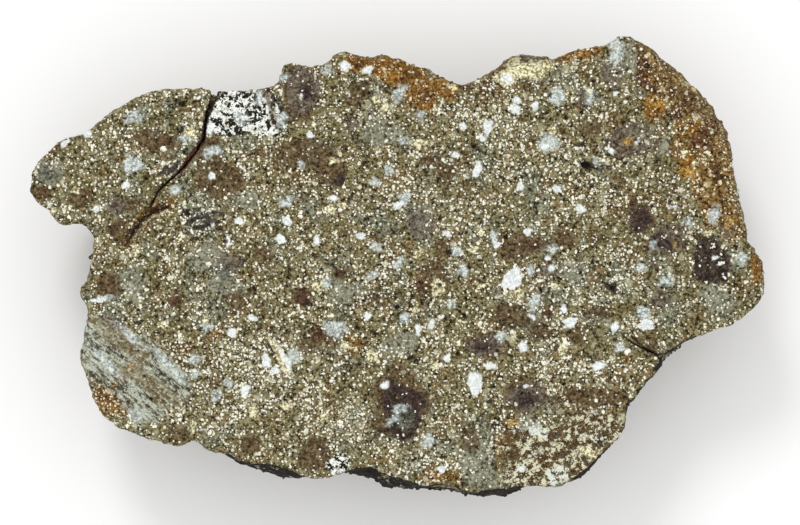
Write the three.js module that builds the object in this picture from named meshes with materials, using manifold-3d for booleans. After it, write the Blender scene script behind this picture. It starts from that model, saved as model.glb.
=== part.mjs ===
// Sawn slab of suevite, an impact breccia, as one solid in millimetres with +Z up.
// It lies on its broken back with the sawn face up. The origin is in the middle of its
// footprint, on the surface that it rests on; +X runs along its length.
import * as THREE from "three";
import { ImprovedNoise } from "three/addons/math/ImprovedNoise.js";
import { mergeVertices } from "three/addons/utils/BufferGeometryUtils.js";
import Module from "manifold-3d";

const wasm = await Module();
wasm.setup();

// Driving dimensions
const LENGTH = 131.2;
const THICKNESS = 25;
const BELLY_HEIGHT = 9; // where the broken sides turn in under the slab
const ARRIS = 0.35; // wear along the sawn edge
const REST_SHARE = 0.42; // how far the flat resting spot reaches from the spine to the edge
const UNDERCUT = 2.2; // how far the sides draw in where the sawn edge is the widest part
const SIDE_LUMP = 1.5; // height of the lumps on the broken sides
const BACK_LUMP = 2.4; // and on the back
const LUMP_SIZE = 9;
const BELLY_WAVE = { height: 3, size: 18 }; // how the line of the belly rises and falls
const REST_WAVE = { height: 3, size: 16 }; // how the border of the resting spot wanders
const SOFT_REACH = 4; // stations each way over which the outline below the edge is evened out

// The sawn edge, clockwise from the left tip, in pixels of the reference view, x right and
// y down. A third number is how many millimetres the broken side stands out past the edge.
const EDGE_PX = [
  [29, 190], [31, 174], [36, 163], [46, 154], [53, 146.5], [61, 141], [74, 136],
  [86, 132.5], [92, 127], [103, 118.5], [111, 111.5], [123, 105], [136, 97.5],
  [149, 92], [163, 89.5], [178, 88], [194, 88], [208, 88.5], [213, 91.5], [221, 90],
  [237, 90.5], [252, 90], [264, 88], [272, 85.5], [279, 82.5], [281, 74], [282.5, 66],
  [288, 62], [296, 62], [302, 64.5], [311, 66.5], [321, 64.5], [330, 61.5],
  [332, 55.5], [337, 52], [348, 52], [359, 55], [372, 55.5], [384, 54], [396, 56.5],
  [408, 59.5], [418, 65.5], [430, 69], [441, 74.5], [450, 80], [457, 85], [465, 83.5],
  [474, 80.5], [484, 76.5], [493, 70], [502, 62], [510, 55.5], [521, 52.5],
  [533, 53.5], [545, 55.5], [555, 57.5], [566, 53.5], [577, 48.5], [590, 46.5],
  [597, 44], [603, 46.5], [611, 41], [620, 34.2], [630, 37], [641, 41.5], [651, 46],
  [660, 56], [670, 63.5], [681, 71], [690, 81.5], [700, 90], [710, 100.5], [718, 113],
  [725, 127], [731, 143], [732.5, 158], [734.5, 174], [738, 189], [741, 199],
  [744.5, 213], [746, 220], [747.5, 227], [748.5, 235], [746, 241], [754, 246.5], [762, 256],
  [765.5, 265], [764.5, 280], [765.5, 292], [760, 303], [750, 312.5], [739, 320.5],
  [728, 328], [719, 328.5], [709, 334], [697, 336.5], [687, 340.5, 0.2],
  [678, 345, 0.9], [667, 350, 1.1], [660, 358, 1.1], [656, 368, 1.1],
  [648.5, 379.5, 0.4], [641, 391], [636, 398.5, 0.4], [626, 406, 0.5], [626, 418],
  [624.5, 430, 0.1], [616.5, 441, 0.3], [607, 449.5, 0.2], [599, 458, 0.5],
  [590, 466, 0.9], [580, 474.5, 0.9], [571, 481, 0.5], [560, 488], [549, 487.5],
  [537, 486.5], [526, 487, 0.2], [514, 487.5, 1.3], [500, 489.5, 1.6],
  [486, 490, 1.3], [472, 494, 0.6], [463, 491.5, 0.7], [456, 485.5, 1.4],
  [447, 481.5, 1.7], [436, 484.5, 1.2], [425, 487.5, 0.6], [412, 483, 1.35],
  [399, 479.5, 1.9], [388, 476.5, 2.0], [378, 470.5, 2.3], [368, 467.5, 1.7],
  [357, 469, 1.3], [348, 472.5, 0.3], [338, 475.5], [329, 478], [319, 480],
  [309, 479.5, 0.1], [300, 476, 0.8], [290, 470, 1.7], [278, 466.5, 2.2],
  [264, 464.5, 1.8], [251, 465, 0.5], [240, 460, 0.8], [230, 453.5, 1.0],
  [222, 454, 0.2], [212, 453.5], [203, 448.5], [196.5, 440.5], [190, 442], [183, 446],
  [171, 446.5], [160, 442.5], [149, 439.5], [137, 435], [124, 430.5], [112, 424.5],
  [102, 416], [95, 406], [92.5, 394], [87.5, 379], [82.5, 367], [79.5, 359.5],
  [82, 347], [84.5, 333], [87, 319], [87.5, 306], [80.5, 297.5], [79.5, 291],
  [86, 282], [89, 274], [89.5, 268.5], [92.5, 261], [92, 252], [94.5, 240],
  [90.5, 231], [82, 223], [71, 223], [62.5, 226.5], [54.5, 220.5], [49.5, 211],
  [41, 206], [33, 199.5],
];
// The line inside the slab that all its sections close on
const SPINE_PX = [[215, 155], [610, 270]];

// Places where weathering has planed the sawn edge off: width runs in from the edge
const WEATHERED = [
  { at: [384, 55], reach: 9, width: 2.6, drop: 1.8 },
  { at: [424, 68], reach: 8, width: 6.2, drop: 3.4 },
  { at: [512, 56], reach: 8, width: 2.6, drop: 1.8 },
  { at: [560, 54], reach: 9, width: 1.6, drop: 1.1 },
  { at: [700, 92], reach: 17, width: 6.5, drop: 1.7 },
  { at: [742, 200], reach: 9, width: 2.6, drop: 0.9 },
  { at: [765, 264], reach: 4.4, width: 2.1, drop: 1.9 },
  { at: [98, 412], reach: 8, width: 1.4, drop: 0.8 },
];

// Cracks in the sawn face: [x, y] in reference pixels, then half the width and the depth
const CRACKS = [
  [
    [218, 84, 0.55, 5], [213, 97, 0.5, 5], [208, 111, 0.42, 4.5], [205, 123, 0.3, 4],
    [205, 136, 0.26, 3.5], [197, 150, 0.22, 3.5], [190, 160, 0.22, 3],
    [181, 170, 0.2, 3], [168, 182, 0.15, 2.5], [160, 189, 0.14, 2.2],
    [155, 197, 0.14, 2], [150, 207, 0.12, 1.6],
  ],
  [
    [620, 333, 0.1, 1.2], [633, 344, 0.16, 2], [645, 349.5, 0.2, 2.5],
    [655, 353, 0.26, 3], [667, 362, 0.34, 3.5],
  ],
];

// Hollows torn or dissolved out of the sawn face: centre in reference pixels, half length,
// half width and depth in millimetres, and the turn of the long side
const HOLLOWS = [
  { at: [150, 216], size: [4.6, 1.1, 1.3], turn: 38 },
  { at: [131, 236], size: [3.6, 1.3, 1.6], turn: 45 },
  { at: [585, 165], size: [1.05, 0.75, 1.1], turn: 0 },
  { at: [179.5, 103.5], size: [0.5, 0.5, 0.7], turn: 0 },
  { at: [437, 290], size: [0.8, 0.65, 0.8], turn: 20 },
  { at: [410, 358], size: [0.8, 0.45, 0.8], turn: 25 },
  { at: [474, 147], size: [0.5, 0.45, 0.7], turn: 0 },
];

// Scars where flakes have broken off below the sawn edge: the nearest place on the edge in
// reference pixels, the height of the middle, the radius of the scar and how deep it goes
const SCARS = [
  { at: [111, 111], height: 6, radius: 17, depth: 3 },
  { at: [290, 62], height: 4, radius: 15, depth: 3.4 },
  { at: [475, 80], height: 3, radius: 20, depth: 3.2 },
  { at: [710, 100], height: 7, radius: 16, depth: 2.8 },
  { at: [765, 292], height: 4, radius: 14, depth: 3 },
  { at: [590, 466], height: 2, radius: 18, depth: 3.2 },
  { at: [329, 478], height: 4, radius: 16, depth: 3 },
  { at: [149, 439], height: 5, radius: 15, depth: 2.8 },
  { at: [80, 291], height: 5, radius: 13, depth: 2.6 },
];

// Angular clasts that weather out of the broken sides and back. A clast's radius is least
// plus up to spread; from and over say which shares of the side or back they are spread on
const SIDE_CLASTS = { count: 22, least: 1.2, spread: 1.3, from: 0.6, over: 0.35, sunk: 0.7 };
const BACK_CLASTS = { count: 20, least: 1.6, spread: 2, from: 0.12, over: 0.55, start: 0.3 };
const BACK_RISE = 0.25; // how far a back clast's middle lies above the surface, in radii
const BACK_CLEARANCE = 1.35; // and at least above the resting plane
const CLAST_FORM = [1.25, 1, 0.8];
const CLAST_ROUGHNESS = 0.28;
const CLAST_TURN = { x: 1.7, z: 2.9 }; // radians from one clast to the next
const SCAR_FORM = [1.3, 1, 0.85];
const SCAR_ROUGHNESS = 0.06;
const HOLLOW_ROUGHNESS = 0.3;
const LARGE_HOLLOW = 2; // half length from which a hollow gets finer faces
const GOLDEN = 0.618034;
const CUTTER_RISE = 1; // how far a crack's wedge stands above the sawn face
const SAME_POINT = 1e-4; // points this close together are one

// Heights of the rings of points, from the sawn edge to the belly and on to the resting spot
const SIDE_RINGS = [0.08, 0.22, 0.4, 0.6, 0.8, 1];
const BACK_RINGS = [0.12, 0.25, 0.4, 0.56, 0.72, 0.87, 1];

// How the relief and the standing toe run down the broken side
const RELIEF_GAIN = 1.4; // the relief is full at 1 / 1.4 of the side
const TOE_GAIN = 2.2; // the toe is widest at 1 / 2.2 of the side
const FULL_TOE = 0.8; // a toe this wide keeps the side from drawing in
const BACK_CURVE = 1.2;
const BACK_SINK = 0.2;

// Noise: the second octave's scale, height and offset, and a place of its own for each use
const OCTAVE = { scale: 2.3, height: 0.5, shift: 7 };
const CREASE_GAIN = 1.5;
const GRAIN_SIZE = 0.8;
const SEED = { belly: 3, side: 11, rest: 21, back: 31, backClast: 40, hollow: 60, scar: 80 };

const perlin = new ImprovedNoise();
const edgeX = EDGE_PX.map(([x]) => x);
const edgeY = EDGE_PX.map(([, y]) => y);
const leftPx = Math.min(...edgeX);
const rightPx = Math.max(...edgeX);
const mmPerPx = LENGTH / (rightPx - leftPx);
const middlePx = [
  (leftPx + rightPx) / 2,
  (Math.min(...edgeY) + Math.max(...edgeY)) / 2,
];

const smooth = (t) => t * t * (3 - 2 * t);
// Numbers from 0 to 1 that spread evenly; each stride gives another order
const spreadOut = (i, stride) => (i * GOLDEN * stride) % 1;

function fromPhoto([x, y]) {
  return new THREE.Vector2(
    (x - middlePx[0]) * mmPerPx,
    (middlePx[1] - y) * mmPerPx,
  );
}

// Two octaves of smooth noise, about -1 to 1, with lumps of the given size
function lumps(point, size, seed) {
  const [x, y, z] = [point.x / size, point.y / size, point.z / size + seed];
  const { scale, height, shift } = OCTAVE;
  return perlin.noise(x, y, z) + height * perlin.noise(scale * x, scale * y, scale * z + shift);
}

function spinePoint(edgePoint) {
  const [a, b] = SPINE_PX.map(fromPhoto);
  const along = THREE.MathUtils.clamp((edgePoint.x - a.x) / (b.x - a.x), 0, 1);
  return a.clone().lerp(b, along);
}

function weathering(edgePoint) {
  let width = 0;
  let drop = 0;
  for (const spot of WEATHERED) {
    const away = fromPhoto(spot.at).distanceTo(edgePoint) / spot.reach;
    const share = away < 1 ? (1 - away * away) ** 2 : 0;
    width += spot.width * share;
    drop += spot.drop * share;
  }
  return { width, drop };
}

// A station is one place along the sawn edge, with the ray that its section follows
function makeStation([x, y, toe = 0]) {
  const edge = fromPhoto([x, y]);
  const inner = spinePoint(edge);
  const reach = edge.distanceTo(inner);
  return {
    edge,
    toe,
    reach,
    outward: edge.clone().sub(inner).divideScalar(reach),
    ...weathering(edge),
  };
}

// The stations, each with how far the evened outline lies inside its edge, and its own reach
function evened(stations) {
  return stations.map((station, i) => {
    const edge = new THREE.Vector2();
    let reach = 0;
    for (let step = -SOFT_REACH; step <= SOFT_REACH; step++) {
      const near = stations[(i + step + stations.length) % stations.length];
      edge.add(near.edge);
      reach += near.reach;
    }
    edge.divideScalar(2 * SOFT_REACH + 1).sub(station.edge);
    return {
      ...station,
      inset: Math.max(0, -edge.dot(station.outward)),
      evenReach: reach / (2 * SOFT_REACH + 1),
    };
  });
}

function onRay(station, offset, z) {
  return new THREE.Vector3(
    station.edge.x + station.outward.x * offset,
    station.edge.y + station.outward.y * offset,
    z,
  );
}

// Broken rock: lumps with sharp creases between them, from 0 to about 1
function brokenRelief(point, size, seed) {
  return Math.min(1, CREASE_GAIN * Math.abs(lumps(point, size, seed)));
}

const edgeHeight = (station) => THICKNESS - ARRIS - station.drop;

function bellyHeight(station) {
  const wave = lumps(onRay(station, 0, 0), BELLY_WAVE.size, SEED.belly);
  return BELLY_HEIGHT + BELLY_WAVE.height * wave;
}

// A point of the broken side; share is 0 at the sawn edge and 1 at the belly
function sidePoint(station, share) {
  const top = edgeHeight(station);
  const z = top + (bellyHeight(station) - top) * share;
  const straight = onRay(station, 0, z);
  const below = smooth(Math.min(1, RELIEF_GAIN * share));
  const relief = SIDE_LUMP * brokenRelief(straight, LUMP_SIZE, SEED.side) * below;
  const drawnIn = (UNDERCUT + station.inset) * smooth(share) + relief;
  const standsOut = station.toe * Math.sin(Math.min(1, share * TOE_GAIN) * (Math.PI / 2));
  const free = THREE.MathUtils.clamp(1 - station.toe / FULL_TOE, 0, 1);
  const held = 1 - smooth(THREE.MathUtils.clamp(2 * share - 1, 0, 1));
  return onRay(station, standsOut * held - drawnIn * Math.max(free, 1 - held), z);
}

// A point of the broken back; share is 0 at the belly and 1 at the flat resting spot
function backPoint(station, share) {
  const belly = sidePoint(station, 1);
  const flatEdge = onRay(station, REST_SHARE * station.evenReach - station.reach, 0);
  const waviness = REST_WAVE.height * lumps(flatEdge, REST_WAVE.size, SEED.rest);
  flatEdge.x -= station.outward.x * waviness;
  flatEdge.y -= station.outward.y * waviness;
  const point = belly.clone().lerp(flatEdge, share);
  const middle = Math.sin(Math.PI * share);
  point.z = belly.z * (1 - share) ** BACK_CURVE;
  point.z += middle * BACK_LUMP * (brokenRelief(point, LUMP_SIZE, SEED.back) - BACK_SINK);
  return point;
}

// Joins rings of points by bands of triangles and closes the first and last ring. A ring
// has as many points as the one above it or half as many; caps are lists of point triples
function loft(rings, firstCap, lastCap) {
  const index = firstCap.flat();
  let high = 0;
  for (let r = 0; r + 1 < rings.length; r++) {
    const [above, below] = [rings[r].length, rings[r + 1].length];
    const [low, step] = [high + above, above / below];
    for (let i = 0; i < below; i++) {
      const [a, b, c] = [0, 1, 2].map((k) => high + ((i * step + k) % above));
      const [p, q] = [low + i, low + ((i + 1) % below)];
      index.push(a, b, p, b, q, p);
      if (step === 2) index.push(b, c, q);
    }
    high = low;
  }
  index.push(...lastCap.flat().map((i) => high + i));
  return new THREE.BufferGeometry()
    .setFromPoints(rings.flat())
    .setIndex(index);
}

// Triangles that fill a level ring, facing up
function flatCap(ring) {
  const contour = ring.map((p) => new THREE.Vector2(p.x, p.y));
  return THREE.ShapeUtils.triangulateShape(contour, []);
}

function toSolid(geometry) {
  const bare = geometry.clone();
  bare.deleteAttribute("normal");
  bare.deleteAttribute("uv");
  const merged = mergeVertices(bare, SAME_POINT);
  return new wasm.Manifold(
    new wasm.Mesh({
      numProp: 3,
      vertProperties: merged.attributes.position.array,
      triVerts: new Uint32Array(merged.index.array),
    }),
  );
}

function toGeometry(solid) {
  const mesh = solid.getMesh();
  const geometry = new THREE.BufferGeometry();
  const points = new Float32Array(mesh.vertProperties);
  geometry.setAttribute("position", new THREE.BufferAttribute(points, 3));
  geometry.setIndex([...mesh.triVerts]);
  geometry.computeVertexNormals();
  return geometry;
}

function slabBody(stations) {
  const sawnRing = stations.map((s) => onRay(s, -(ARRIS + s.width), THICKNESS));
  const edgeRing = stations.map((s) => onRay(s, 0, edgeHeight(s)));
  const sides = SIDE_RINGS.map((share) => stations.map((s) => sidePoint(s, share)));
  const everySecond = stations.filter((_, i) => i % 2 === 0);
  const back = BACK_RINGS.map((share) => everySecond.map((s) => backPoint(s, share)));
  const rings = [sawnRing, edgeRing, ...sides, ...back];
  const rest = flatCap(rings[rings.length - 1]).map(([a, b, c]) => [a, c, b]);
  return toSolid(loft(rings, flatCap(sawnRing), rest));
}

// A wedge with its open side up that follows the points of a crack
function crackCutter(points) {
  const rings = points.map(([x, y, halfWidth, depth], i) => {
    const at = fromPhoto([x, y]);
    const before = fromPhoto(points[Math.max(0, i - 1)]);
    const after = fromPhoto(points[Math.min(points.length - 1, i + 1)]);
    const across = after.sub(before).normalize().rotateAround(new THREE.Vector2(), Math.PI / 2);
    const lip = halfWidth * (1 + CUTTER_RISE / depth);
    const above = THICKNESS + CUTTER_RISE;
    return [
      new THREE.Vector3(at.x + across.x * lip, at.y + across.y * lip, above),
      new THREE.Vector3(at.x - across.x * lip, at.y - across.y * lip, above),
      new THREE.Vector3(at.x, at.y, THICKNESS - depth),
    ];
  });
  return toSolid(loft(rings, [[0, 2, 1]], [[0, 1, 2]]));
}

// An icosahedron pushed out of round, so that its faces read as flat and broken
function angularLump(detail, roughness, seed) {
  const geometry = new THREE.IcosahedronGeometry(1, detail);
  const position = geometry.attributes.position;
  const point = new THREE.Vector3();
  for (let i = 0; i < position.count; i++) {
    point.fromBufferAttribute(position, i);
    point.multiplyScalar(1 + roughness * lumps(point, GRAIN_SIZE, seed));
    position.setXYZ(i, point.x, point.y, point.z);
  }
  return geometry;
}

function hollowCutter({ at, size, turn }, seed) {
  const centre = fromPhoto(at);
  const detail = size[0] > LARGE_HOLLOW ? 2 : 1;
  const geometry = angularLump(detail, HOLLOW_ROUGHNESS, seed)
    .scale(...size)
    .rotateZ(THREE.MathUtils.degToRad(turn))
    .translate(centre.x, centre.y, THICKNESS);
  return toSolid(geometry);
}

function scarCutter(stations, { at, height, radius, depth }, seed) {
  const place = fromPhoto(at);
  const away = (station) => station.edge.distanceTo(place);
  const nearest = stations.reduce((best, s) => (away(s) < away(best) ? s : best));
  const share = (THICKNESS - height) / (THICKNESS - BELLY_HEIGHT);
  const surface = sidePoint(nearest, Math.min(1, share));
  const stand = radius - depth;
  const geometry = angularLump(4, SCAR_ROUGHNESS, seed)
    .scale(...SCAR_FORM.map((share) => share * radius))
    .rotateZ(Math.atan2(nearest.outward.y, nearest.outward.x) + Math.PI / 2)
    .translate(
      surface.x + nearest.outward.x * stand,
      surface.y + nearest.outward.y * stand,
      height,
    );
  return toSolid(geometry);
}

// A clast set into the surface at a point, with part of it standing out
function clast(point, radius, seed) {
  const geometry = angularLump(1, CLAST_ROUGHNESS, seed)
    .scale(...CLAST_FORM.map((share) => share * radius))
    .rotateX(seed * CLAST_TURN.x)
    .rotateZ(seed * CLAST_TURN.z)
    .translate(point.x, point.y, point.z);
  return toSolid(geometry);
}

function sideClasts(stations) {
  const { count, least, spread, from, over, sunk } = SIDE_CLASTS;
  return Array.from({ length: count }, (_, i) => {
    const station = stations[Math.floor(spreadOut(i, 1) * stations.length)];
    const share = from + over * spreadOut(i, 3);
    const radius = least + spread * spreadOut(i, 7);
    const point = sidePoint(station, share);
    point.x -= station.outward.x * radius * sunk;
    point.y -= station.outward.y * radius * sunk;
    return clast(point, radius, i + 1);
  });
}

function backClasts(stations) {
  const { count, least, spread, from, over, start } = BACK_CLASTS;
  return Array.from({ length: count }, (_, i) => {
    const station = stations[Math.floor(((i * GOLDEN + start) % 1) * stations.length)];
    const share = from + over * spreadOut(i, 5);
    const radius = least + spread * spreadOut(i, 11);
    const point = backPoint(station, share);
    point.z = Math.max(point.z + radius * BACK_RISE, radius * BACK_CLEARANCE);
    return clast(point, radius, i + SEED.backClast);
  });
}

function buildSlab() {
  const stations = evened(EDGE_PX.map(makeStation));
  let slab = slabBody(stations);
  for (const lump of [...sideClasts(stations), ...backClasts(stations)])
    slab = slab.add(lump);
  SCARS.forEach((scar, i) => {
    slab = slab.subtract(scarCutter(stations, scar, SEED.scar + i));
  });
  for (const crack of CRACKS) slab = slab.subtract(crackCutter(crack));
  HOLLOWS.forEach((hollow, i) => {
    slab = slab.subtract(hollowCutter(hollow, SEED.hollow + i));
  });
  return toGeometry(slab);
}

const rockMaterial = new THREE.MeshStandardMaterial({
  name: "suevite",
  color: 0x7c6f4f,
  roughness: 0.88,
  metalness: 0,
});

// The slab stands on Z = 0 with its box centred on the origin
function centred(geometry) {
  geometry.computeBoundingBox();
  const middle = geometry.boundingBox.getCenter(new THREE.Vector3());
  return geometry.translate(-middle.x, -middle.y, -geometry.boundingBox.min.z);
}

const slab = new THREE.Mesh(centred(buildSlab()), rockMaterial);
slab.name = "suevite_slab";

const specimen = new THREE.Group();
specimen.add(slab);

export default specimen;
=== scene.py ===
"""Sawn slab of suevite, the breccia of an impact crater: its skin, finish, floor, light and camera.

Lengths are in metres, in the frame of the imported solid. Places on the sawn face are given in pixels
of the 800 by 525 reference view, x right and y down, and ReferenceView turns them into metres.
"""

import logging
import math
from dataclasses import dataclass, field
from enum import Enum, auto
from functools import reduce
from typing import Any

import bmesh
import bpy
import numpy as np
from mathutils import Color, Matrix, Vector, noise
from mathutils.geometry import delaunay_2d_cdt
from mathutils.kdtree import KDTree


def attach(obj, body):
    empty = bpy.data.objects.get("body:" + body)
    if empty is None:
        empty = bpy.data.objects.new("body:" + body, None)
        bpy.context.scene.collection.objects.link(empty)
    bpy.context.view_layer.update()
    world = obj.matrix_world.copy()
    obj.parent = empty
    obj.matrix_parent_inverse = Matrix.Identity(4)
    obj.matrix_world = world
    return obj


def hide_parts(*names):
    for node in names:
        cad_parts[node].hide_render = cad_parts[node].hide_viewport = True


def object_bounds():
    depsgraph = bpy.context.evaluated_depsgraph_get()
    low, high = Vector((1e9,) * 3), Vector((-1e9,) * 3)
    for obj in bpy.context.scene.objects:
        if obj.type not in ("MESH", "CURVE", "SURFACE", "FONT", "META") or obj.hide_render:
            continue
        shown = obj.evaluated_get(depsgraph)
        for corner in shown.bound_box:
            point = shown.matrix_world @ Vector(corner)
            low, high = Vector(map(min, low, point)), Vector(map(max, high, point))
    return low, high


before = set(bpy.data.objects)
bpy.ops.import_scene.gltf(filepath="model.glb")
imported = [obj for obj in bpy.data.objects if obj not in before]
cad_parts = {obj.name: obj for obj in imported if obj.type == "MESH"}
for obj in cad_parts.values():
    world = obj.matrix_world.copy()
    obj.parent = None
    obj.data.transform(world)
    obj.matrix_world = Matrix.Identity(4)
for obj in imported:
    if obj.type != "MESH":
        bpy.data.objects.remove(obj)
cad_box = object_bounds()

log = logging.getLogger("suevite")

SLAB_NODE = "suevite_slab"
BODY = "root"
MM = 0.001
HALF = 0.5
SEED = 11
FACE_TOLERANCE = 0.002 * MM
FULL_TONE = 255


class Mark(Enum):
    """What can be marked on the rock. Each is one number on every vertex, over 0 inside its patches."""

    WHITE = "white_clast"
    PALE = "pale_clast"
    CREAM = "cream_clast"
    BLACK = "black_grain"
    BROWN = "brown_patch"
    PURPLE = "purple_patch"
    DUSK = "grey_brown_patch"
    UMBER = "umber"
    SLATE = "slate_patch"
    GREY = "grey_patch"
    RUST = "rust"
    OCHRE = "ochre"
    RED = "red_brown"
    SALT = "salt_and_pepper"
    GNEISS = "gneiss_clast"
    GRANITE = "granite_clast"
    MOTTLED = "mottled_clast"
    # Painted shade: near-black strips on the lower broken sides, painted where shadow falls
    STAIN = "crack_stain"
    PAINTED_SHADE = "painted_shade_strip"


# Waves round a patch's border, and how far each moves it
BULGES = ((2, 0.1), (3, 0.09), (5, 0.06))


@dataclass(frozen=True)
class Patch:
    """An uneven oval on the sawn face, in reference pixels; turn is in degrees, anticlockwise."""

    x: float
    y: float
    long: float
    short: float
    turn: float = 0.0
    squareness: float = 2.0

    def field(self, px: np.ndarray) -> np.ndarray:
        """How far inside the oval each point is.

        Args:
            px: points in reference pixels, one a row.

        Returns:
            About the distance to the border in pixels, over 0 inside.
        """
        turn = math.radians(self.turn)
        across = px[:, 0] - self.x
        up = self.y - px[:, 1]
        along = (across * math.cos(turn) + up * math.sin(turn)) / self.long
        beside = (up * math.cos(turn) - across * math.sin(turn)) / self.short
        power = self.squareness
        away = (np.abs(along) ** power + np.abs(beside) ** power) ** (1 / power)
        way = np.arctan2(beside, along)
        border = 1.0
        for waves, height in BULGES:
            border = border + height * np.sin(waves * (way + self.x + self.y))
        return (1 - away / border) * min(self.long, self.short)


@dataclass(frozen=True)
class Streak:
    """A line of points on the sawn face with a half width, all in reference pixels."""

    points: tuple[tuple[float, float], ...]
    half_width: float

    def field(self, px: np.ndarray) -> np.ndarray:
        """How far inside the streak each point is.

        Args:
            px: points in reference pixels, one a row.

        Returns:
            The distance to the border in pixels, over 0 inside.
        """
        nearest = np.full(len(px), np.inf)
        for start, end in zip(self.points, self.points[1:]):
            origin = np.array(start)
            way = np.array(end) - origin
            along = np.clip((px - origin) @ way / (way @ way), 0, 1)
            away = np.linalg.norm(px - origin - along[:, None] * way, axis=1)
            nearest = np.minimum(nearest, away)
        return self.half_width - nearest


@dataclass(frozen=True)
class Pit:
    """A small hole in the sawn face: its place in reference pixels, its radius and its depth."""

    x: float
    y: float
    radius: float
    depth: float


def patches(*sizes: tuple[float, ...]) -> tuple[Patch, ...]:
    """Patches from their x, y, long, short, turn and squareness; the last two may be left out."""
    return tuple(Patch(*size) for size in sizes)


CRACK_LINE = ((219, 91), (212, 104), (208, 113), (205, 124), (203, 139), (195, 151), (180, 171))
CRACK_TAIL = ((180, 171), (168, 182), (160, 189), (155, 197), (150, 207))
RED_HOLLOW = ((168, 207), (156, 211), (145, 217), (135, 228), (127, 243))
RIGHT_CRACK = ((632, 336), (645, 349), (667, 360))
DARK_BAND = ((643, 53), (640, 75), (648, 88), (660, 91), (672, 93))

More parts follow.
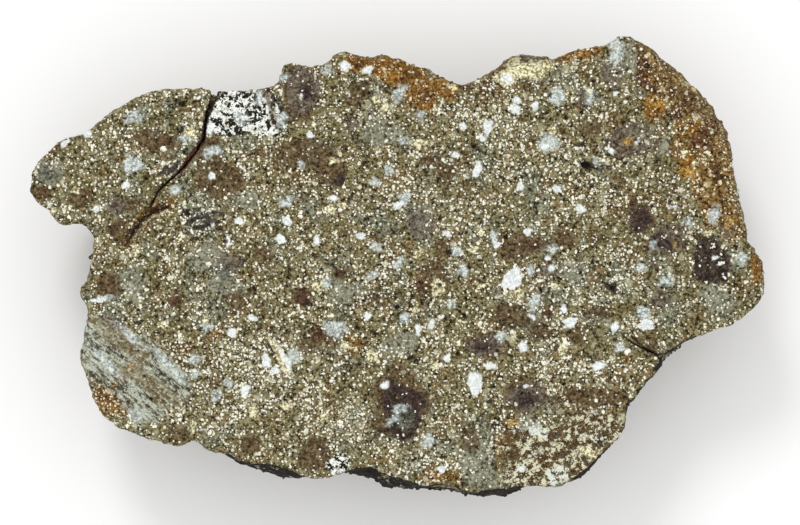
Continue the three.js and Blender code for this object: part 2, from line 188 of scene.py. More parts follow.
MARKS: dict[Mark, tuple[Patch | Streak, ...]] = {
    Mark.WHITE: patches(
        (512.4, 279, 12.5, 8.2, 38), (646, 325, 7.6, 5.4), (475, 383, 11, 7.8, 85), (515, 109, 6, 4),
        (517, 100, 4, 3.6), (488, 127, 8, 4, 80), (361, 235.5, 4.8, 3.2, -15), (447, 233.5, 3.6, 3),
        (523, 346.5, 5.8, 4.2, 80), (431.5, 324.5, 5.2, 2.6, 70), (447, 358, 4, 3.4, 70),
        (367.5, 316.5, 4.2, 3.4, 60), (281, 239, 5.2, 4.6), (287, 221, 5, 4.2), (598, 366, 7, 3.8, 10),
        (232, 333, 4.6, 4.2), (611.5, 150.5, 3.2, 2.8), (581, 209, 4.8, 4.2), (385, 385, 4.4, 3.8),
        (126, 185, 4, 3.4), (239, 221, 4.2, 3.6), (228, 241, 5.4, 2.6, 90), (673.5, 206.8, 4, 1.4, 5),
        (614.5, 327, 5.4, 3.8, 75), (477, 170, 9, 4, 62), (245, 391, 6, 4.2, 80), (528, 232, 5, 3.4),
        (96, 209, 3.8, 3.2), (715.5, 257.5, 4.4, 1.6, 20), (719, 264, 2.4, 1.6), (418, 329, 6, 2.8, 80),
        (442, 469, 4.4, 3.6), (345, 66, 5, 4.4), (368, 70, 5.4, 4, 30), (463, 126.5, 4.2, 3.2),
        (455.5, 155, 3.6, 3.2), (534.5, 106, 4.2, 3.8), (398, 205, 5, 3.4, -10), (317, 241, 4, 4.2),
        (496, 244, 3.6, 3.4), (532.5, 317, 4, 2.4, -20), (491, 366, 7, 3, 5), (564, 309, 3.2, 4),
        (209.5, 129, 4, 6), (212, 176, 3.6, 3.4), (310, 135, 4, 3.6), (557, 189, 4.2, 4),
        (547, 258, 3, 2.6), (552, 268, 3.4, 3), (301, 96, 1.6, 2.6), (520, 187, 3.6, 4.6),
        (252, 318, 4.4, 2.8, -15), (521, 469, 5.4, 3, 10), (637.5, 141.5, 3.4, 1.5, 45),
        (526, 386, 2.4, 1.8), (507, 79, 7, 4.6, 15), (545, 147, 4.6, 2.8, 15),
        (482, 138, 4.4, 2.6, -40), (616, 93, 3.2, 2.2, 60), (334, 198, 3.8, 3.2),
        (88, 134, 4.4, 3.2, 40), (65, 143, 4, 2.8, 30), (213, 223, 3, 3.2), (570, 322, 7, 4.6),
        (284.5, 358, 13, 2.4, -60, 2.6), (266, 361, 4.6, 6.2), (275, 371, 5, 3.6),
        (100, 300, 8, 2.4, 10),
    ),
    Mark.PALE: patches(
        (335, 329, 10, 8.5), (293, 357, 6, 6.5), (108, 298, 6, 3), (463, 271, 5.4, 5),
        (457, 251.5, 5.2, 5.6), (286, 202, 7, 5.2, 10), (405, 198, 5.6, 5.4), (376, 247, 4.4, 4.2),
        (176, 189, 5, 4.4), (400, 93, 9.4, 4.6, 50), (495, 236, 4, 5), (429, 441, 7, 5.5),
        (400, 409, 7, 4, 20), (667, 281, 7, 4.6), (502, 337, 6.4, 5.2), (451, 304, 5, 4),
        (215.5, 150, 6, 5, 10), (207, 153, 4.8, 4.6), (132, 164, 8, 9), (327, 70, 5, 4),
        (392, 421, 6, 2.6, 35), (404, 318, 5, 4), (644, 313, 7, 6.6), (535, 302, 8, 5, 80),
        (529.5, 271, 4.4, 4), (552, 249, 5, 4.2), (640, 268, 5, 4.2), (714, 215, 9.4, 4.8, 80),
        (597, 161.5, 4.8, 4.2), (590, 95, 8.4, 3.8, 80), (549, 143, 9.4, 9), (557, 96, 8.4, 8, 30),
        (616, 52, 13, 6.2, 88, 2.6), (282, 119, 7.4, 4.8, 75), (398, 264, 7.4, 3.6, 45),
        (389, 170, 5, 4, 30), (421, 115, 4.8, 4.2), (404, 141, 4.4, 3.4), (195.5, 373, 4.2, 4),
        (216.5, 395.5, 5, 4.8), (228, 383, 4.4, 4), (207, 327, 5.4, 4), (136, 415, 6.6, 5.8),
        (194, 359, 5, 4.2), (620, 348, 5.4, 4), (653, 245, 3.6, 3.8), (742, 258, 4.6, 6),
        (688, 222, 6, 3.6), (284, 77, 4.4, 4.2), (187, 137, 6.4, 4.2), (134, 116.5, 9, 4.8, 15),
        (129, 335, 16, 3, -42), (169, 366, 19, 3, -45), (108, 364, 15, 4, -48), (258, 96, 4.6, 6),
        (241, 119, 6.4, 5), (302, 165, 3, 3.6), (372, 276, 5.6, 4, 20), (327, 283, 4.2, 3.6),
        (375, 183, 4.4, 3.2),
    ),
    Mark.CREAM: patches(
        (276.5, 349, 11, 4.6, -62, 3), (282, 360, 15, 4.2, -60, 3), (418, 254, 5.4, 2.8, 40),
        (473, 249.5, 4.4, 3.6), (481, 231.5, 4.2, 3.2), (346, 346, 4.6, 4), (372, 356, 6, 4.4),
        (480, 285, 6.4, 2.8, 5), (515, 336, 3.8, 3), (317, 286, 5, 4.2), (435, 366, 4, 3.2),
        (418, 143, 3.6, 4.2), (424.5, 143, 2.8, 3.4), (376, 100, 4.4, 3.4), (385, 108, 4.4, 3),
        (599, 160, 3, 2.6), (324, 417, 4.4, 3.6), (286, 406, 4.6, 4.2), (75, 190, 4, 3.6),
        (134, 253, 4, 3.4), (460, 322, 3.8, 3.2), (438, 287, 7.4, 7.2), (332, 210, 5.2, 4.6),
        (342, 205, 4, 3.8), (507, 77, 13, 8, 10), (513, 64, 9, 5, 40), (541, 69, 13, 9, 25),
        (524, 70, 13, 8, 10), (562, 349, 5.4, 6), (554, 286, 3.8, 3.4), (518, 294, 6.4, 4.4),
        (416, 310, 4.4, 2.6, 45), (287, 175, 4.2, 2.4, 5), (334, 161, 5.4, 2.6, 10),
        (341, 156, 4.2, 1.5, -55), (205, 319, 3.8, 3.4), (163, 325, 4, 3.4), (193.5, 426, 6, 2.4, 75),
        (687, 83, 6, 2.8, -42), (684, 153, 4, 2.4, 80), (695, 163, 3.4, 2.8), (450, 86, 6, 2.6, -28),
        (589, 89, 3.6, 3.4), (552, 130, 3.2, 4.6), (707, 233, 5.4, 3.6), (160, 214, 9, 1.4, 22),
        (140, 231, 8, 1.4, 52), (253, 412, 4.6, 7.4), (241, 222, 3.8, 3.4), (52, 213, 4.4, 2.8, 60),
        (190, 132, 5, 6), (588, 452, 9, 5, -30),
    ),
    Mark.BLACK: patches(
        (612, 288, 7, 5, -20), (630, 295, 2.6, 2.2), (586.5, 165.5, 6.2, 5), (281, 108, 3.2, 3),
        (309, 304, 6.4, 2.6, 5), (131, 232, 3.6, 3.2), (182.5, 104, 3.2, 3), (474, 146, 2.4, 2.2),
        (519, 337, 2.2, 2), (556, 347, 2.8, 4), (397, 307, 3.2, 2.6), (449, 252, 2.6, 5),
        (461, 257, 3, 2), (439, 285, 2.4, 2.2), (436, 289, 1.6, 1.4), (253, 177, 3, 2.4),
        (617, 90, 3.4, 1.6), (581, 145, 4.6, 2.4), (490, 402, 3.6, 2), (389, 125, 3, 2),
        (591, 187, 4, 1.8, 40), (390, 430, 10, 2), (410, 358, 5, 2, 30), (255, 96, 2, 4.6),
        (218, 92, 3.4, 2), (502, 178, 2.4, 1.8), (549, 95, 3, 1.8, 40), (647, 356, 3, 1.4, -30),
        (170, 170, 6, 3.4, 20), (176, 165, 4, 4), (163, 173, 4, 2.6), (179, 176, 3, 2.4),
        (186, 212, 3.6, 2.4), (192, 219, 4, 2.8, 30), (199, 209, 3, 2.4), (205, 216, 3.6, 3),
        (196, 227, 3.6, 2.4, -20), (208, 225, 3, 2.6), (214, 212, 3, 2.2), (188, 232, 3, 2.4),
        (220, 228, 3, 2.4, 40), (203, 234, 3.2, 2.4), (226, 241, 2.6, 2.2), (166, 167, 3, 2),
        (190, 222, 5, 3, 20), (199, 216, 4.4, 3, -30), (210, 219, 4.6, 3, 10), (216, 222, 3.6, 2.8),
        (203, 227, 4.4, 2.8, 50), (222, 215, 3, 2.4), (196, 239, 3, 2.4), (231, 233, 3, 2.6, 20),
    ),
    Mark.BROWN: patches(
        (300, 92, 21, 28), (310, 156, 34, 18, -10), (330, 176, 16, 12, -30), (399, 402, 30, 36, 15),
        (641, 218, 14, 20), (668, 240, 19, 17), (303, 298, 11, 11), (175, 300, 11, 11),
        (524, 396, 26, 17, -5), (590, 397, 42, 11), (250, 445, 11, 11), (315, 455, 16, 20),
        (178, 436, 13, 11), (433, 280, 16, 20), (443, 246, 10, 10), (220, 180, 24, 20),
        (522, 245, 23, 16), (509, 315, 20, 14), (485, 346, 22, 14), (356, 96, 15, 13),
        (540, 332, 12, 11), (650, 342, 10, 11), (432, 159, 15, 6, 12), (448, 170, 16, 9, 20),
        (470, 440, 12, 14), (340, 275, 9, 7), (575, 335, 14, 9), (548, 312, 6, 9), (80, 195, 16, 12),
        (158, 142, 23, 13), (43, 193, 12, 9), (110, 285, 16, 14), (320, 340, 24, 9, 20),
        (210, 160, 16, 22), (563, 240, 16, 9), (120, 228, 14, 9, 40), (728, 232, 8, 9),
        (262, 255, 12, 9), (600, 312, 12, 8), (380, 300, 11, 8), (236, 300, 13, 10), (128, 205, 16, 9),
        (592, 128, 14, 9),
    ),
    Mark.PURPLE: patches(
        (711, 262, 22, 23, 15), (403, 410, 23, 28, 15), (640, 221, 11, 17, -10), (526, 400, 12, 8),
        (484, 347, 10, 6, -5), (338, 181, 7, 7), (306, 92, 9, 10), (664, 242, 13, 9, -25),
    ),
    Mark.DUSK: patches(
        (629, 141, 27, 19, 8), (613, 74, 13, 14), (584, 100, 10, 9), (302, 90, 19, 24),
        (728, 231, 8, 8), (116, 207, 13, 10), (660, 300, 13, 9), (420, 222, 15, 18),
        (486, 347, 20, 12, -5), (525, 398, 23, 15), (155, 133, 8, 6), (110, 322, 14, 7, -30),
        (350, 124, 9, 8), (668, 240, 18, 16, -20), (548, 270, 13, 9), (232, 262, 14, 11),
    ),
    Mark.SLATE: patches(
        (199, 219, 17, 13, -35), (48, 173, 11, 11), (170, 169, 10, 7, 25), (222, 272, 14, 8, -20),
        (404, 418, 13, 12), (186, 128, 8, 6, -40),
    ),
    Mark.UMBER: (
        *patches(
            (355, 345, 12, 8), (217, 333, 8, 6), (190, 347, 7, 4), (628, 360, 8, 6), (187, 397, 6, 5),
            (655, 66, 18, 28), (676, 86, 28, 26), (700, 128, 30, 42, -25), (714, 180, 24, 44, -8),
            (732, 218, 11, 26), (656, 104, 17, 17), (573, 54, 28, 8, 8), (400, 68, 48, 12, -14),
            (496, 66, 9, 16, -30), (110, 400, 28, 18), (504, 446, 8, 14), (440, 476, 20, 8),
        ),
        Streak(RED_HOLLOW, 9),
    ),
    Mark.GREY: patches(
        (478, 463, 19, 29), (208, 258, 20, 14), (50, 172, 15, 13), (225, 285, 18, 13),
        (572, 272, 16, 12), (345, 290, 18, 12), (420, 218, 15, 15), (382, 134, 19, 15),
        (250, 200, 14, 10), (720, 300, 20, 14), (400, 345, 20, 14), (130, 280, 17, 15),
        (558, 475, 13, 12), (535, 427, 16, 10, -40), (600, 438, 10, 6, 10), (630, 60, 10, 14),
        (735, 262, 12, 14), (535, 322, 10, 8), (665, 148, 9, 9),
    ),
    Mark.RUST: (
        *patches(
            (354, 63, 12, 8), (374, 66, 20, 10, -8), (393, 71, 24, 15, -18), (413, 82, 20, 19, -35),
            (426, 95, 14, 16), (442, 89, 18, 10, -35), (573, 52, 28, 6, 8), (655, 106, 10, 10),
            (688, 166, 9, 11, -20), (645, 78, 5, 10), (699, 132, 10, 13, -25), (758, 266, 8, 17),
            (106, 399, 10, 6, -35), (468, 66, 8, 4, 30),
        ),
        Streak(((114, 386), (124, 375), (133, 364)), 5),
    ),
    Mark.OCHRE: patches(
        (434, 77, 14, 6, -35), (451, 87, 8, 4, -30), (677, 77, 8, 4, -40), (690, 86, 11, 3, -42),
        (575, 50, 20, 3, 8), (398, 74, 10, 4, -20), (510, 422, 5, 2.6), (656, 100, 9, 6),
        (690, 172, 9, 6), (729, 226, 3, 9), (612, 440, 5, 9, -25), (510, 54, 12, 3, 35),
        (629, 142, 5, 3.4), (675, 245, 5, 5),
    ),
    Mark.RED: (
        *patches(
            (426, 96, 7, 6), (466, 88, 7, 5, -30), (358, 65, 9, 4, -8), (521, 57, 13, 3.6, -4),
            (533, 86, 16, 4, 8), (490, 86, 12, 9, 30), (700, 143, 12, 8), (689, 99, 11, 8),
            (677, 111, 9, 8), (708, 128, 8, 12, -30), (673, 151, 7, 5), (349.5, 199.5, 4, 4),
            (340, 273, 6, 4), (548, 312, 6, 6), (533, 246, 7, 5), (655, 264, 5, 5), (674, 189, 6, 5),
            (214, 384, 6, 5), (131, 352, 4, 6), (106, 397, 9, 6, -35), (130, 411, 8, 4, -25),
            (317, 334, 8, 8), (174, 300, 8, 7), (303, 297, 8, 8), (365, 163, 4, 4),
            (431, 159, 12, 3.4, 12), (446, 176, 12, 3, 22), (595, 239, 7, 6), (427, 306, 4, 4),
            (161, 138, 6, 9), (543, 73, 4, 3), (583, 415, 22, 5), (562, 455, 20, 6, -5),
            (500, 425, 9, 8), (576, 468, 14, 8, 25), (420, 283, 5, 9), (443, 243, 5, 4),
            (627, 151, 5, 4), (43, 193, 4, 4), (175, 345, 6, 3), (190, 348, 5, 3), (300, 330, 7, 4),
            (716, 172, 6, 8),
        ),
        Streak(DARK_BAND, 6), Streak(RED_HOLLOW, 5), Streak(((269, 345), (274, 353), (278, 361)), 3.4),
        Streak(CRACK_TAIL, 2.4), Streak(((267, 91), (270, 105), (275, 124), (277, 129)), 4),
        Streak(CRACK_LINE, 3.6),
    ),
    Mark.SALT: patches(
        (452, 113, 26, 18), (472, 212, 22, 16), (505, 118, 30, 22), (350, 70, 12, 12),
        (500, 165, 24, 20), (190, 128, 13, 16), (168, 169, 12, 10), (197, 219, 20, 17),
        (250, 375, 56, 42), (200, 410, 40, 24), (330, 430, 44, 24), (430, 460, 30, 16),
        (456, 253, 12, 10), (570, 320, 18, 14), (550, 275, 20, 14), (610, 290, 14, 12),
        (560, 160, 26, 22), (520, 300, 16, 12), (350, 120, 18, 14), (600, 190, 24, 16),
        (380, 300, 18, 12), (720, 330, 22, 14), (440, 340, 20, 14), (300, 390, 24, 18),
        (250, 176, 8, 8), (560, 365, 30, 12), (420, 190, 18, 12),
    ),
    Mark.GNEISS: patches((131, 369, 58, 36, -42, 2.6)),
    Mark.GRANITE: patches((246, 113, 33, 24, -3, 4.5), (338, 466, 12, 10)),
    Mark.MOTTLED: patches((562, 450, 62, 32, 14, 2.8)),
    Mark.STAIN: (
        Streak(CRACK_LINE, 2.6), Streak(CRACK_TAIL, 1.3), Streak(RED_HOLLOW, 1.2),
        Streak(RIGHT_CRACK, 1.5), Streak(((269, 345), (274, 353)), 1.5),
        Streak(((576, 480), (592, 467), (606, 452), (618, 440)), 2.2),
        Streak(((627, 412), (628, 404), (639, 396)), 1.8),
    ),
    # Painted shade: near-black strips along the lower broken sides, in place of shadow
    Mark.PAINTED_SHADE: (
        Streak(((221, 456), (240, 464), (264, 470), (290, 476), (308, 483)), 12),
        Streak(((349, 474), (378, 479), (399, 487), (425, 493), (500, 499), (529, 491)), 14),
        Streak(((570, 485), (590, 471), (616, 445), (627, 430)), 7),
        Streak(((626, 410), (638, 398)), 6), Streak(((649, 384), (661, 360), (689, 342)), 8),
    ),
}

SMALL_MARKS = (Mark.WHITE, Mark.PALE, Mark.CREAM, Mark.BLACK)

# Each x and y in reference pixels, radius and depth in mm
PIT_SIZES = (
    (566, 118, 0.5, 0.5), (349.5, 199.5, 0.45, 0.4), (397, 307, 0.5, 0.5), (474, 146, 0.4, 0.4),
    (506, 237, 0.5, 0.45), (586.5, 165.5, 0.75, 0.6), (358, 328, 0.45, 0.4), (465, 316, 0.5, 0.45),
    (612, 288, 0.5, 0.5), (182.5, 104, 0.5, 0.5), (188, 214, 0.45, 0.4), (416, 361, 0.55, 0.5),
    (273, 104, 0.45, 0.4), (274, 122, 0.45, 0.4), (647, 66, 0.6, 0.5), (600, 443, 0.55, 0.5),
)


@dataclass(frozen=True)
class ReferenceView:
    """The picture's frame, tied to the slab by the left, right and top ends of its outline."""

    low: Vector
    high: Vector
    width: float = 800.0
    height: float = 525.0
    left: float = 29.0
    right: float = 765.5
    top: float = 34.2

    @property
    def pixel(self) -> float:
        """The size of one pixel on the sawn face."""
        return (self.high.x - self.low.x) / (self.right - self.left)

    def place(self, x: float, y: float) -> tuple[float, float]:
        """Where a pixel lies on the sawn face.

        Args:
            x: pixels to the right.
            y: pixels down.

        Returns:
            X and Y.
        """
        across = self.low.x + (x - self.left) * self.pixel
        return across, self.high.y - (y - self.top) * self.pixel

    def pixels(self, points: np.ndarray) -> np.ndarray:
        """The pixels of points seen from above.

        Args:
            points: coordinates, one point a row.

        Returns:
            x and y, one point a row.
        """
        across = self.left + (points[:, 0] - self.low.x) / self.pixel
        down = self.top + (self.high.y - points[:, 1]) / self.pixel
        return np.column_stack((across, down))


def inside(points: np.ndarray, starts: np.ndarray, ends: np.ndarray) -> np.ndarray:
    """Which points lie inside closed outlines, with the holes left out.

    Args:
        points: X and Y, one point a row.
        starts: the outlines' segments' first ends.
        ends: their second ends.

    Returns:
        True or False for each point.
    """
    within = np.zeros(len(points), bool)
    for (x0, y0), (x1, y1) in zip(starts, ends):
        if y0 == y1:
            continue
        spans = (y0 > points[:, 1]) != (y1 > points[:, 1])
        crossing = x0 + (points[:, 1] - y0) * (x1 - x0) / (y1 - y0)
        within ^= spans & (points[:, 0] < crossing)
    return within


def ease(values: np.ndarray) -> np.ndarray:
    """Values clamped to 0 to 1 and eased at both ends."""
    held = np.clip(values, 0, 1)
    return held * held * (3 - 2 * held)


def vertex_places(mesh: bpy.types.Mesh) -> np.ndarray:
    """The coordinates of a mesh's vertices, one a row."""
    places = np.zeros(len(mesh.vertices) * 3)
    mesh.vertices.foreach_get("co", places)
    return places.reshape(-1, 3)


def add_object(name: str, data: Any) -> bpy.types.Object:
    """Puts an object with this data into the scene, at the origin."""
    made = bpy.data.objects.new(name, data)
    bpy.context.scene.collection.objects.link(made)
    return made


def add_skin(name: str, skin: bmesh.types.BMesh) -> bpy.types.Object:
    """Puts a finished bmesh into the scene and frees it."""
    mesh = bpy.data.meshes.new(name)
    skin.to_mesh(mesh)
    skin.free()
    return add_object(name, mesh)


@dataclass
class SlabSkin:
    """The rock's whole skin: the sawn face with its pits, and the broken sides and back.

    Each edge and pitch says how fine the mesh is. The radii of the loose pits are in mm, and the other
    pit sizes without a unit are shares of a pit's radius, but for pit_bowl, the power of its profile.
    clast_reach, clast_under and field_floor are in reference pixels.
    """

    view: ReferenceView
    rim_edge: float = 0.6 * MM
    rim_band: float = 1.3 * MM
    side_edge: float = 0.82 * MM
    back_edge: float = 1.4 * MM
    back_height: float = 7.0 * MM
    rest_edge: float = 4.0 * MM
    rounds: int = 6
    evening: float = 0.5
    sharp_angle: float = 48.0
    rim_shift: float = 0.22 * MM
    rim_shift_size: float = 1.3 * MM
    rim_jag: float = 0.16 * MM
    rim_jag_size: float = 0.6 * MM
    lump_height: float = 0.42 * MM
    lump_size: float = 3.2 * MM
    lump_mean: float = 0.25
    lump_falloff: float = 1.0
    lump_gap: float = 2.0
    lump_octaves: int = 3
    grit_height: float = 0.2 * MM
    grit_size: float = 0.9 * MM
    rough_depth: float = 2.2 * MM
    foot_gap: float = 0.03 * MM
    face_pitch: float = 0.52 * MM
    clast_pitch: float = 0.28 * MM
    pitch_shift: float = 0.12
    rim_gap: float = 0.22 * MM
    weld: float = 1e-6
    clast_reach: float = 2.5
    clast_under: float = 21.0
    loose_pits: int = 260
    pit_room: float = 2 * MM
    pit_radii: tuple[float, float] = (0.16, 0.4)
    pit_depths: tuple[float, float] = (0.6, 1.1)
    pit_clear: float = 1.35
    pit_rings: tuple[tuple[float, int], ...] = ((0.55, 6), (0.9, 9), (1.12, 11))
    ring_shares: tuple[float, float] = (0.85, 1.1)
    pit_bowl: float = 0.6
    pit_reach: float = 1.3
    # Depth over which the painted shade in a pit reaches full strength
    pit_shade_depth: float = 0.25 * MM
    broken_from: float = 0.35 * MM
    broken_over: float = 0.8 * MM
    field_floor: float = -8.0
    sunk_share: float = 0.5
    sunk_free: float = 1.8 * MM
    # How the painted shade strips fade with depth, and how far below the sawn face they start
    painted_shade_fall: float = 0.12
    painted_shade_start: float = 0.25 * MM
    pits: list[Pit] = field(default_factory=list)

    @property
    def top(self) -> float:
        """The height of the sawn face."""
        return self.view.high.z

    def build(self) -> bpy.types.Object:
        """Makes the skin as one closed mesh, with a number on each vertex for each mark.

        Returns:
            The object, at the origin.
        """
        skin = bmesh.new()
        skin.from_mesh(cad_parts[SLAB_NODE].data)
        bmesh.ops.remove_doubles(skin, verts=skin.verts, dist=FACE_TOLERANCE)
        lid = [f for f in skin.faces if all(v.co.z > self.top - FACE_TOLERANCE for v in f.verts)]
        bmesh.ops.delete(skin, geom=lid, context="FACES")
        self._refine(skin)
        self._roughen(skin)
        self._fill(skin)
        bmesh.ops.recalc_face_normals(skin, faces=skin.faces)
        open_edges = sum(1 for e in skin.edges if not e.is_manifold)
        rock = add_skin("suevite_rock", skin)
        rock.data.shade_smooth()
        rock.data.set_sharp_from_angle(angle=math.radians(self.sharp_angle))
        self._mark(rock.data)
        log.info("suevite_rock: %d triangles, %d open edges", len(rock.data.polygons), open_edges)
        return rock

    def _longest(self, edge: bmesh.types.BMEdge) -> float:
        """How long an edge may be where it lies."""
        low, high = sorted(v.co.z for v in edge.verts)
        if high < FACE_TOLERANCE:
            return self.rest_edge
        if low > self.top - self.rim_band:
            return self.rim_edge
        return self.back_edge if high < self.back_height else self.side_edge

    def _refine(self, skin: bmesh.types.BMesh) -> None:
        """Halves long edges round by round, and evens out the new vertices but not the rim."""
        for _ in range(self.rounds):
            long = [e for e in skin.edges if e.calc_length() > self._longest(e)]
            if not long:
                break
            bmesh.ops.subdivide_edges(skin, edges=long, cuts=1)
            bmesh.ops.triangulate(skin, faces=[f for f in skin.faces if len(f.verts) > 3])
            loose = [v for v in skin.verts if not v.is_boundary and v.co.z > FACE_TOLERANCE]
            ways = {"use_axis_x": True, "use_axis_y": True, "use_axis_z": True}
            bmesh.ops.smooth_vert(skin, verts=loose, factor=self.evening, **ways)

    def _roughen(self, skin: bmesh.types.BMesh) -> None:
        """Gives the broken surfaces their lumps and grit, and the rim its small jags."""
        skin.normal_update()
        noise.seed_set(SEED)
        low, high = self.view.low, self.view.high
        for vertex in skin.verts:
            place = vertex.co.copy()
            depth = self.top - place.z
            jag = noise.noise_vector(place / self.rim_shift_size)
            fine_jag = noise.noise_vector(place / self.rim_jag_size)
            shift = Vector((jag.x, jag.y, 0)) * self.rim_shift
            shift += Vector((fine_jag.x, fine_jag.y, 0)) * self.rim_jag
            if depth > FACE_TOLERANCE and place.z > FACE_TOLERANCE:
                fade = min(1.0, depth / self.rough_depth)
                lump = noise.fractal(
                    place / self.lump_size, self.lump_falloff, self.lump_gap, self.lump_octaves
                )
                grit = noise.noise(place / self.grit_size)
                rise = self.lump_height * (lump - self.lump_mean) + self.grit_height * grit
                shift += vertex.normal * rise * fade
            if place.z > FACE_TOLERANCE:
                vertex.co = place + shift
                vertex.co.x = min(max(vertex.co.x, low.x), high.x)
                vertex.co.y = min(max(vertex.co.y, low.y), high.y)
                vertex.co.z = min(max(vertex.co.z, self.foot_gap), self.top)

    def _fill(self, skin: bmesh.types.BMesh) -> None:
        """Closes the skin with the sawn face: even points inside the rim, and rings at the pits."""
        rim_edges = [e for e in skin.edges if e.is_boundary]
        rim = list({v for e in rim_edges for v in e.verts})
        skin.verts.index_update()
        rim.sort(key=lambda v: v.index)
        number = {v: i for i, v in enumerate(rim)}
        outline = [(number[e.verts[0]], number[e.verts[1]]) for e in rim_edges]
        rim_xy = np.array([v.co.xy for v in rim])
        starts = rim_xy[[a for a, _ in outline]]
        ends = rim_xy[[b for _, b in outline]]
        inner = self._face_points(rim_xy, starts, ends)
        heights = self._face_heights(inner)
        every = np.vstack((rim_xy, inner)) / MM
        made = delaunay_2d_cdt([Vector(p) for p in every], outline, [], 0, self.weld, True)
        corners, triangles, sources = made[0], made[2], made[3]
        vertices = []
        for corner, source in zip(corners, sources):
            first = source[0] if source else -1
            if 0 <= first < len(rim):
                vertices.append(rim[first])
                continue
            rise = heights[first - len(rim)] if first >= 0 else 0.0
            place = (corner.x * MM, corner.y * MM, self.top + rise)
            vertices.append(skin.verts.new(place))
        corner_xy = np.array(corners) * MM
        middles = corner_xy[np.array(triangles)].mean(axis=1)
        for triangle, kept in zip(triangles, inside(middles, starts, ends)):
            if kept:
                skin.faces.new([vertices[i] for i in triangle])

    def _face_points(
        self, rim: np.ndarray, starts: np.ndarray, ends: np.ndarray
    ) -> np.ndarray:
        """Chooses the sawn face's inner points and its loose pits.

        Args:
            rim: the rim's vertices.
            starts: the rim's segments' first ends.
            ends: their second ends.

        Returns:
            X and Y, one point a row.
        """
        draw = np.random.default_rng(SEED)
        wide = self._grid(rim, self.face_pitch, draw)
        close = self._grid(rim, self.clast_pitch, draw)
        grid = np.vstack((wide[~self._near_clast(wide)], close[self._near_clast(close)]))
        grid = grid[inside(grid, starts, ends)]
        tree = KDTree(len(rim))
        for i, (x, y) in enumerate(rim):
            tree.insert((x, y, 0), i)
        tree.balance()
        gap = np.array([tree.find((x, y, 0))[2] for x, y in grid])
        self.pits = [Pit(x, y, radius * MM, depth * MM) for x, y, radius, depth in PIT_SIZES]
        roomy = grid[(gap > self.pit_room) & ~self._near_clast(grid)]
        for x, y in roomy[draw.choice(len(roomy), self.loose_pits, replace=False)]:
            radius = draw.uniform(*self.pit_radii) * MM
            pixel = self.view.pixels(np.array([[x, y]]))[0]
            self.pits.append(Pit(pixel[0], pixel[1], radius, radius * draw.uniform(*self.pit_depths)))
        free = gap > self.rim_gap
        rings = []
        for pit in self.pits:
            middle = np.array(self.view.place(pit.x, pit.y))
            free &= np.linalg.norm(grid - middle, axis=1) > self.pit_clear * pit.radius
            rings.append(middle[None])
            for share, count in self.pit_rings:
                turn = np.linspace(0, math.tau, count, endpoint=False) + pit.x
                ring = np.column_stack((np.cos(turn), np.sin(turn))) * share * pit.radius
                rings.append(middle + ring * draw.uniform(*self.ring_shares, (count, 1)))
        holes = np.vstack(rings)
        holes = holes[inside(holes, starts, ends)]
        return np.vstack((grid[free], holes))

    def _grid(self, rim: np.ndarray, pitch: float, draw: np.random.Generator) -> np.ndarray:
        """Points in shifted rows over the rim's box, each moved a little at random.

        Args:
            rim: the rim's vertices.
            pitch: the distance from point to point.
            draw: gives the random numbers.

        Returns:
            X and Y, one point a row.
        """
        low, high = rim.min(axis=0), rim.max(axis=0)
        rows = np.arange(low[1], high[1], pitch * math.sin(math.pi / 3))
        columns = np.arange(low[0], high[0], pitch)
        across, up = np.meshgrid(columns, rows)
        across[1::2] += pitch / 2
        grid = np.column_stack((across.ravel(), up.ravel()))
        return grid + draw.uniform(-self.pitch_shift, self.pitch_shift, grid.shape) * pitch

    def _near_clast(self, points: np.ndarray) -> np.ndarray:
        """Which points lie on or close to a small clast, and so need closer neighbours."""
        px = self.view.pixels(points)
        near = np.zeros(len(px), bool)
        for mark in SMALL_MARKS:
            for shape in MARKS[mark]:
                if shape.long < self.clast_under:
                    close = np.abs(px - (shape.x, shape.y)).max(axis=1) < 2 * shape.long
                    near[close] |= shape.field(px[close]) > -self.clast_reach
        return near

    def _face_heights(self, points: np.ndarray) -> np.ndarray:
        """How far each point of the sawn face lies below its plane, as a height under 0."""
        heights = np.zeros(len(points))
        for pit in self.pits:
            away = np.linalg.norm(points - np.array(self.view.place(pit.x, pit.y)), axis=1)
            bowl = -pit.depth * np.clip(1 - (away / pit.radius) ** 2, 0, 1) ** self.pit_bowl
            heights = np.minimum(heights, bowl)
        return heights

    def _mark(self, mesh: bpy.types.Mesh) -> None:
        """Writes the marks, the painted shade strips among them, how broken each vertex is, and how sunken
        it is in a pit, which sets the painted shade there, onto the mesh.
        """
        points = vertex_places(mesh)
        px = self.view.pixels(points)
        depth = self.top - points[:, 2]
        in_pit = self._in_pit(px)
        for mark, shapes in MARKS.items():
            value = np.max([shape.field(px) for shape in shapes], axis=0)
            # The painted shade strips start a little below the sawn face and fade with depth
            if mark is Mark.PAINTED_SHADE:
                value = value - depth / self.view.pixel * self.painted_shade_fall
                value = np.where(depth < self.painted_shade_start, self.field_floor, value)
            elif mark not in (Mark.RUST, Mark.SALT):
                sunk = np.maximum(depth - self.sunk_free, 0)
                value = value - sunk / self.view.pixel * self.sunk_share
            self._write(mesh, mark.value, np.maximum(value, self.field_floor))
        self._write(mesh, "broken", ease((depth - self.broken_from) / self.broken_over) * ~in_pit)
        # Painted shade in the pits: darker with depth
        self._write(mesh, "pit", np.where(in_pit, ease(depth / self.pit_shade_depth), 0.0))

    def _in_pit(self, px: np.ndarray) -> np.ndarray:
        """Which vertices lie within a small pit of the sawn face."""
        found = np.zeros(len(px), bool)
        for pit in self.pits:
            away = np.hypot(px[:, 0] - pit.x, px[:, 1] - pit.y) * self.view.pixel
            found |= away < self.pit_reach * pit.radius
        return found

    @staticmethod
    def _write(mesh: bpy.types.Mesh, name: str, values: np.ndarray) -> None:
        """Stores one number a vertex under a name."""
        attribute = mesh.attributes.new(name, "FLOAT", "POINT")
        attribute.data.foreach_set("value", values.astype(np.float32))


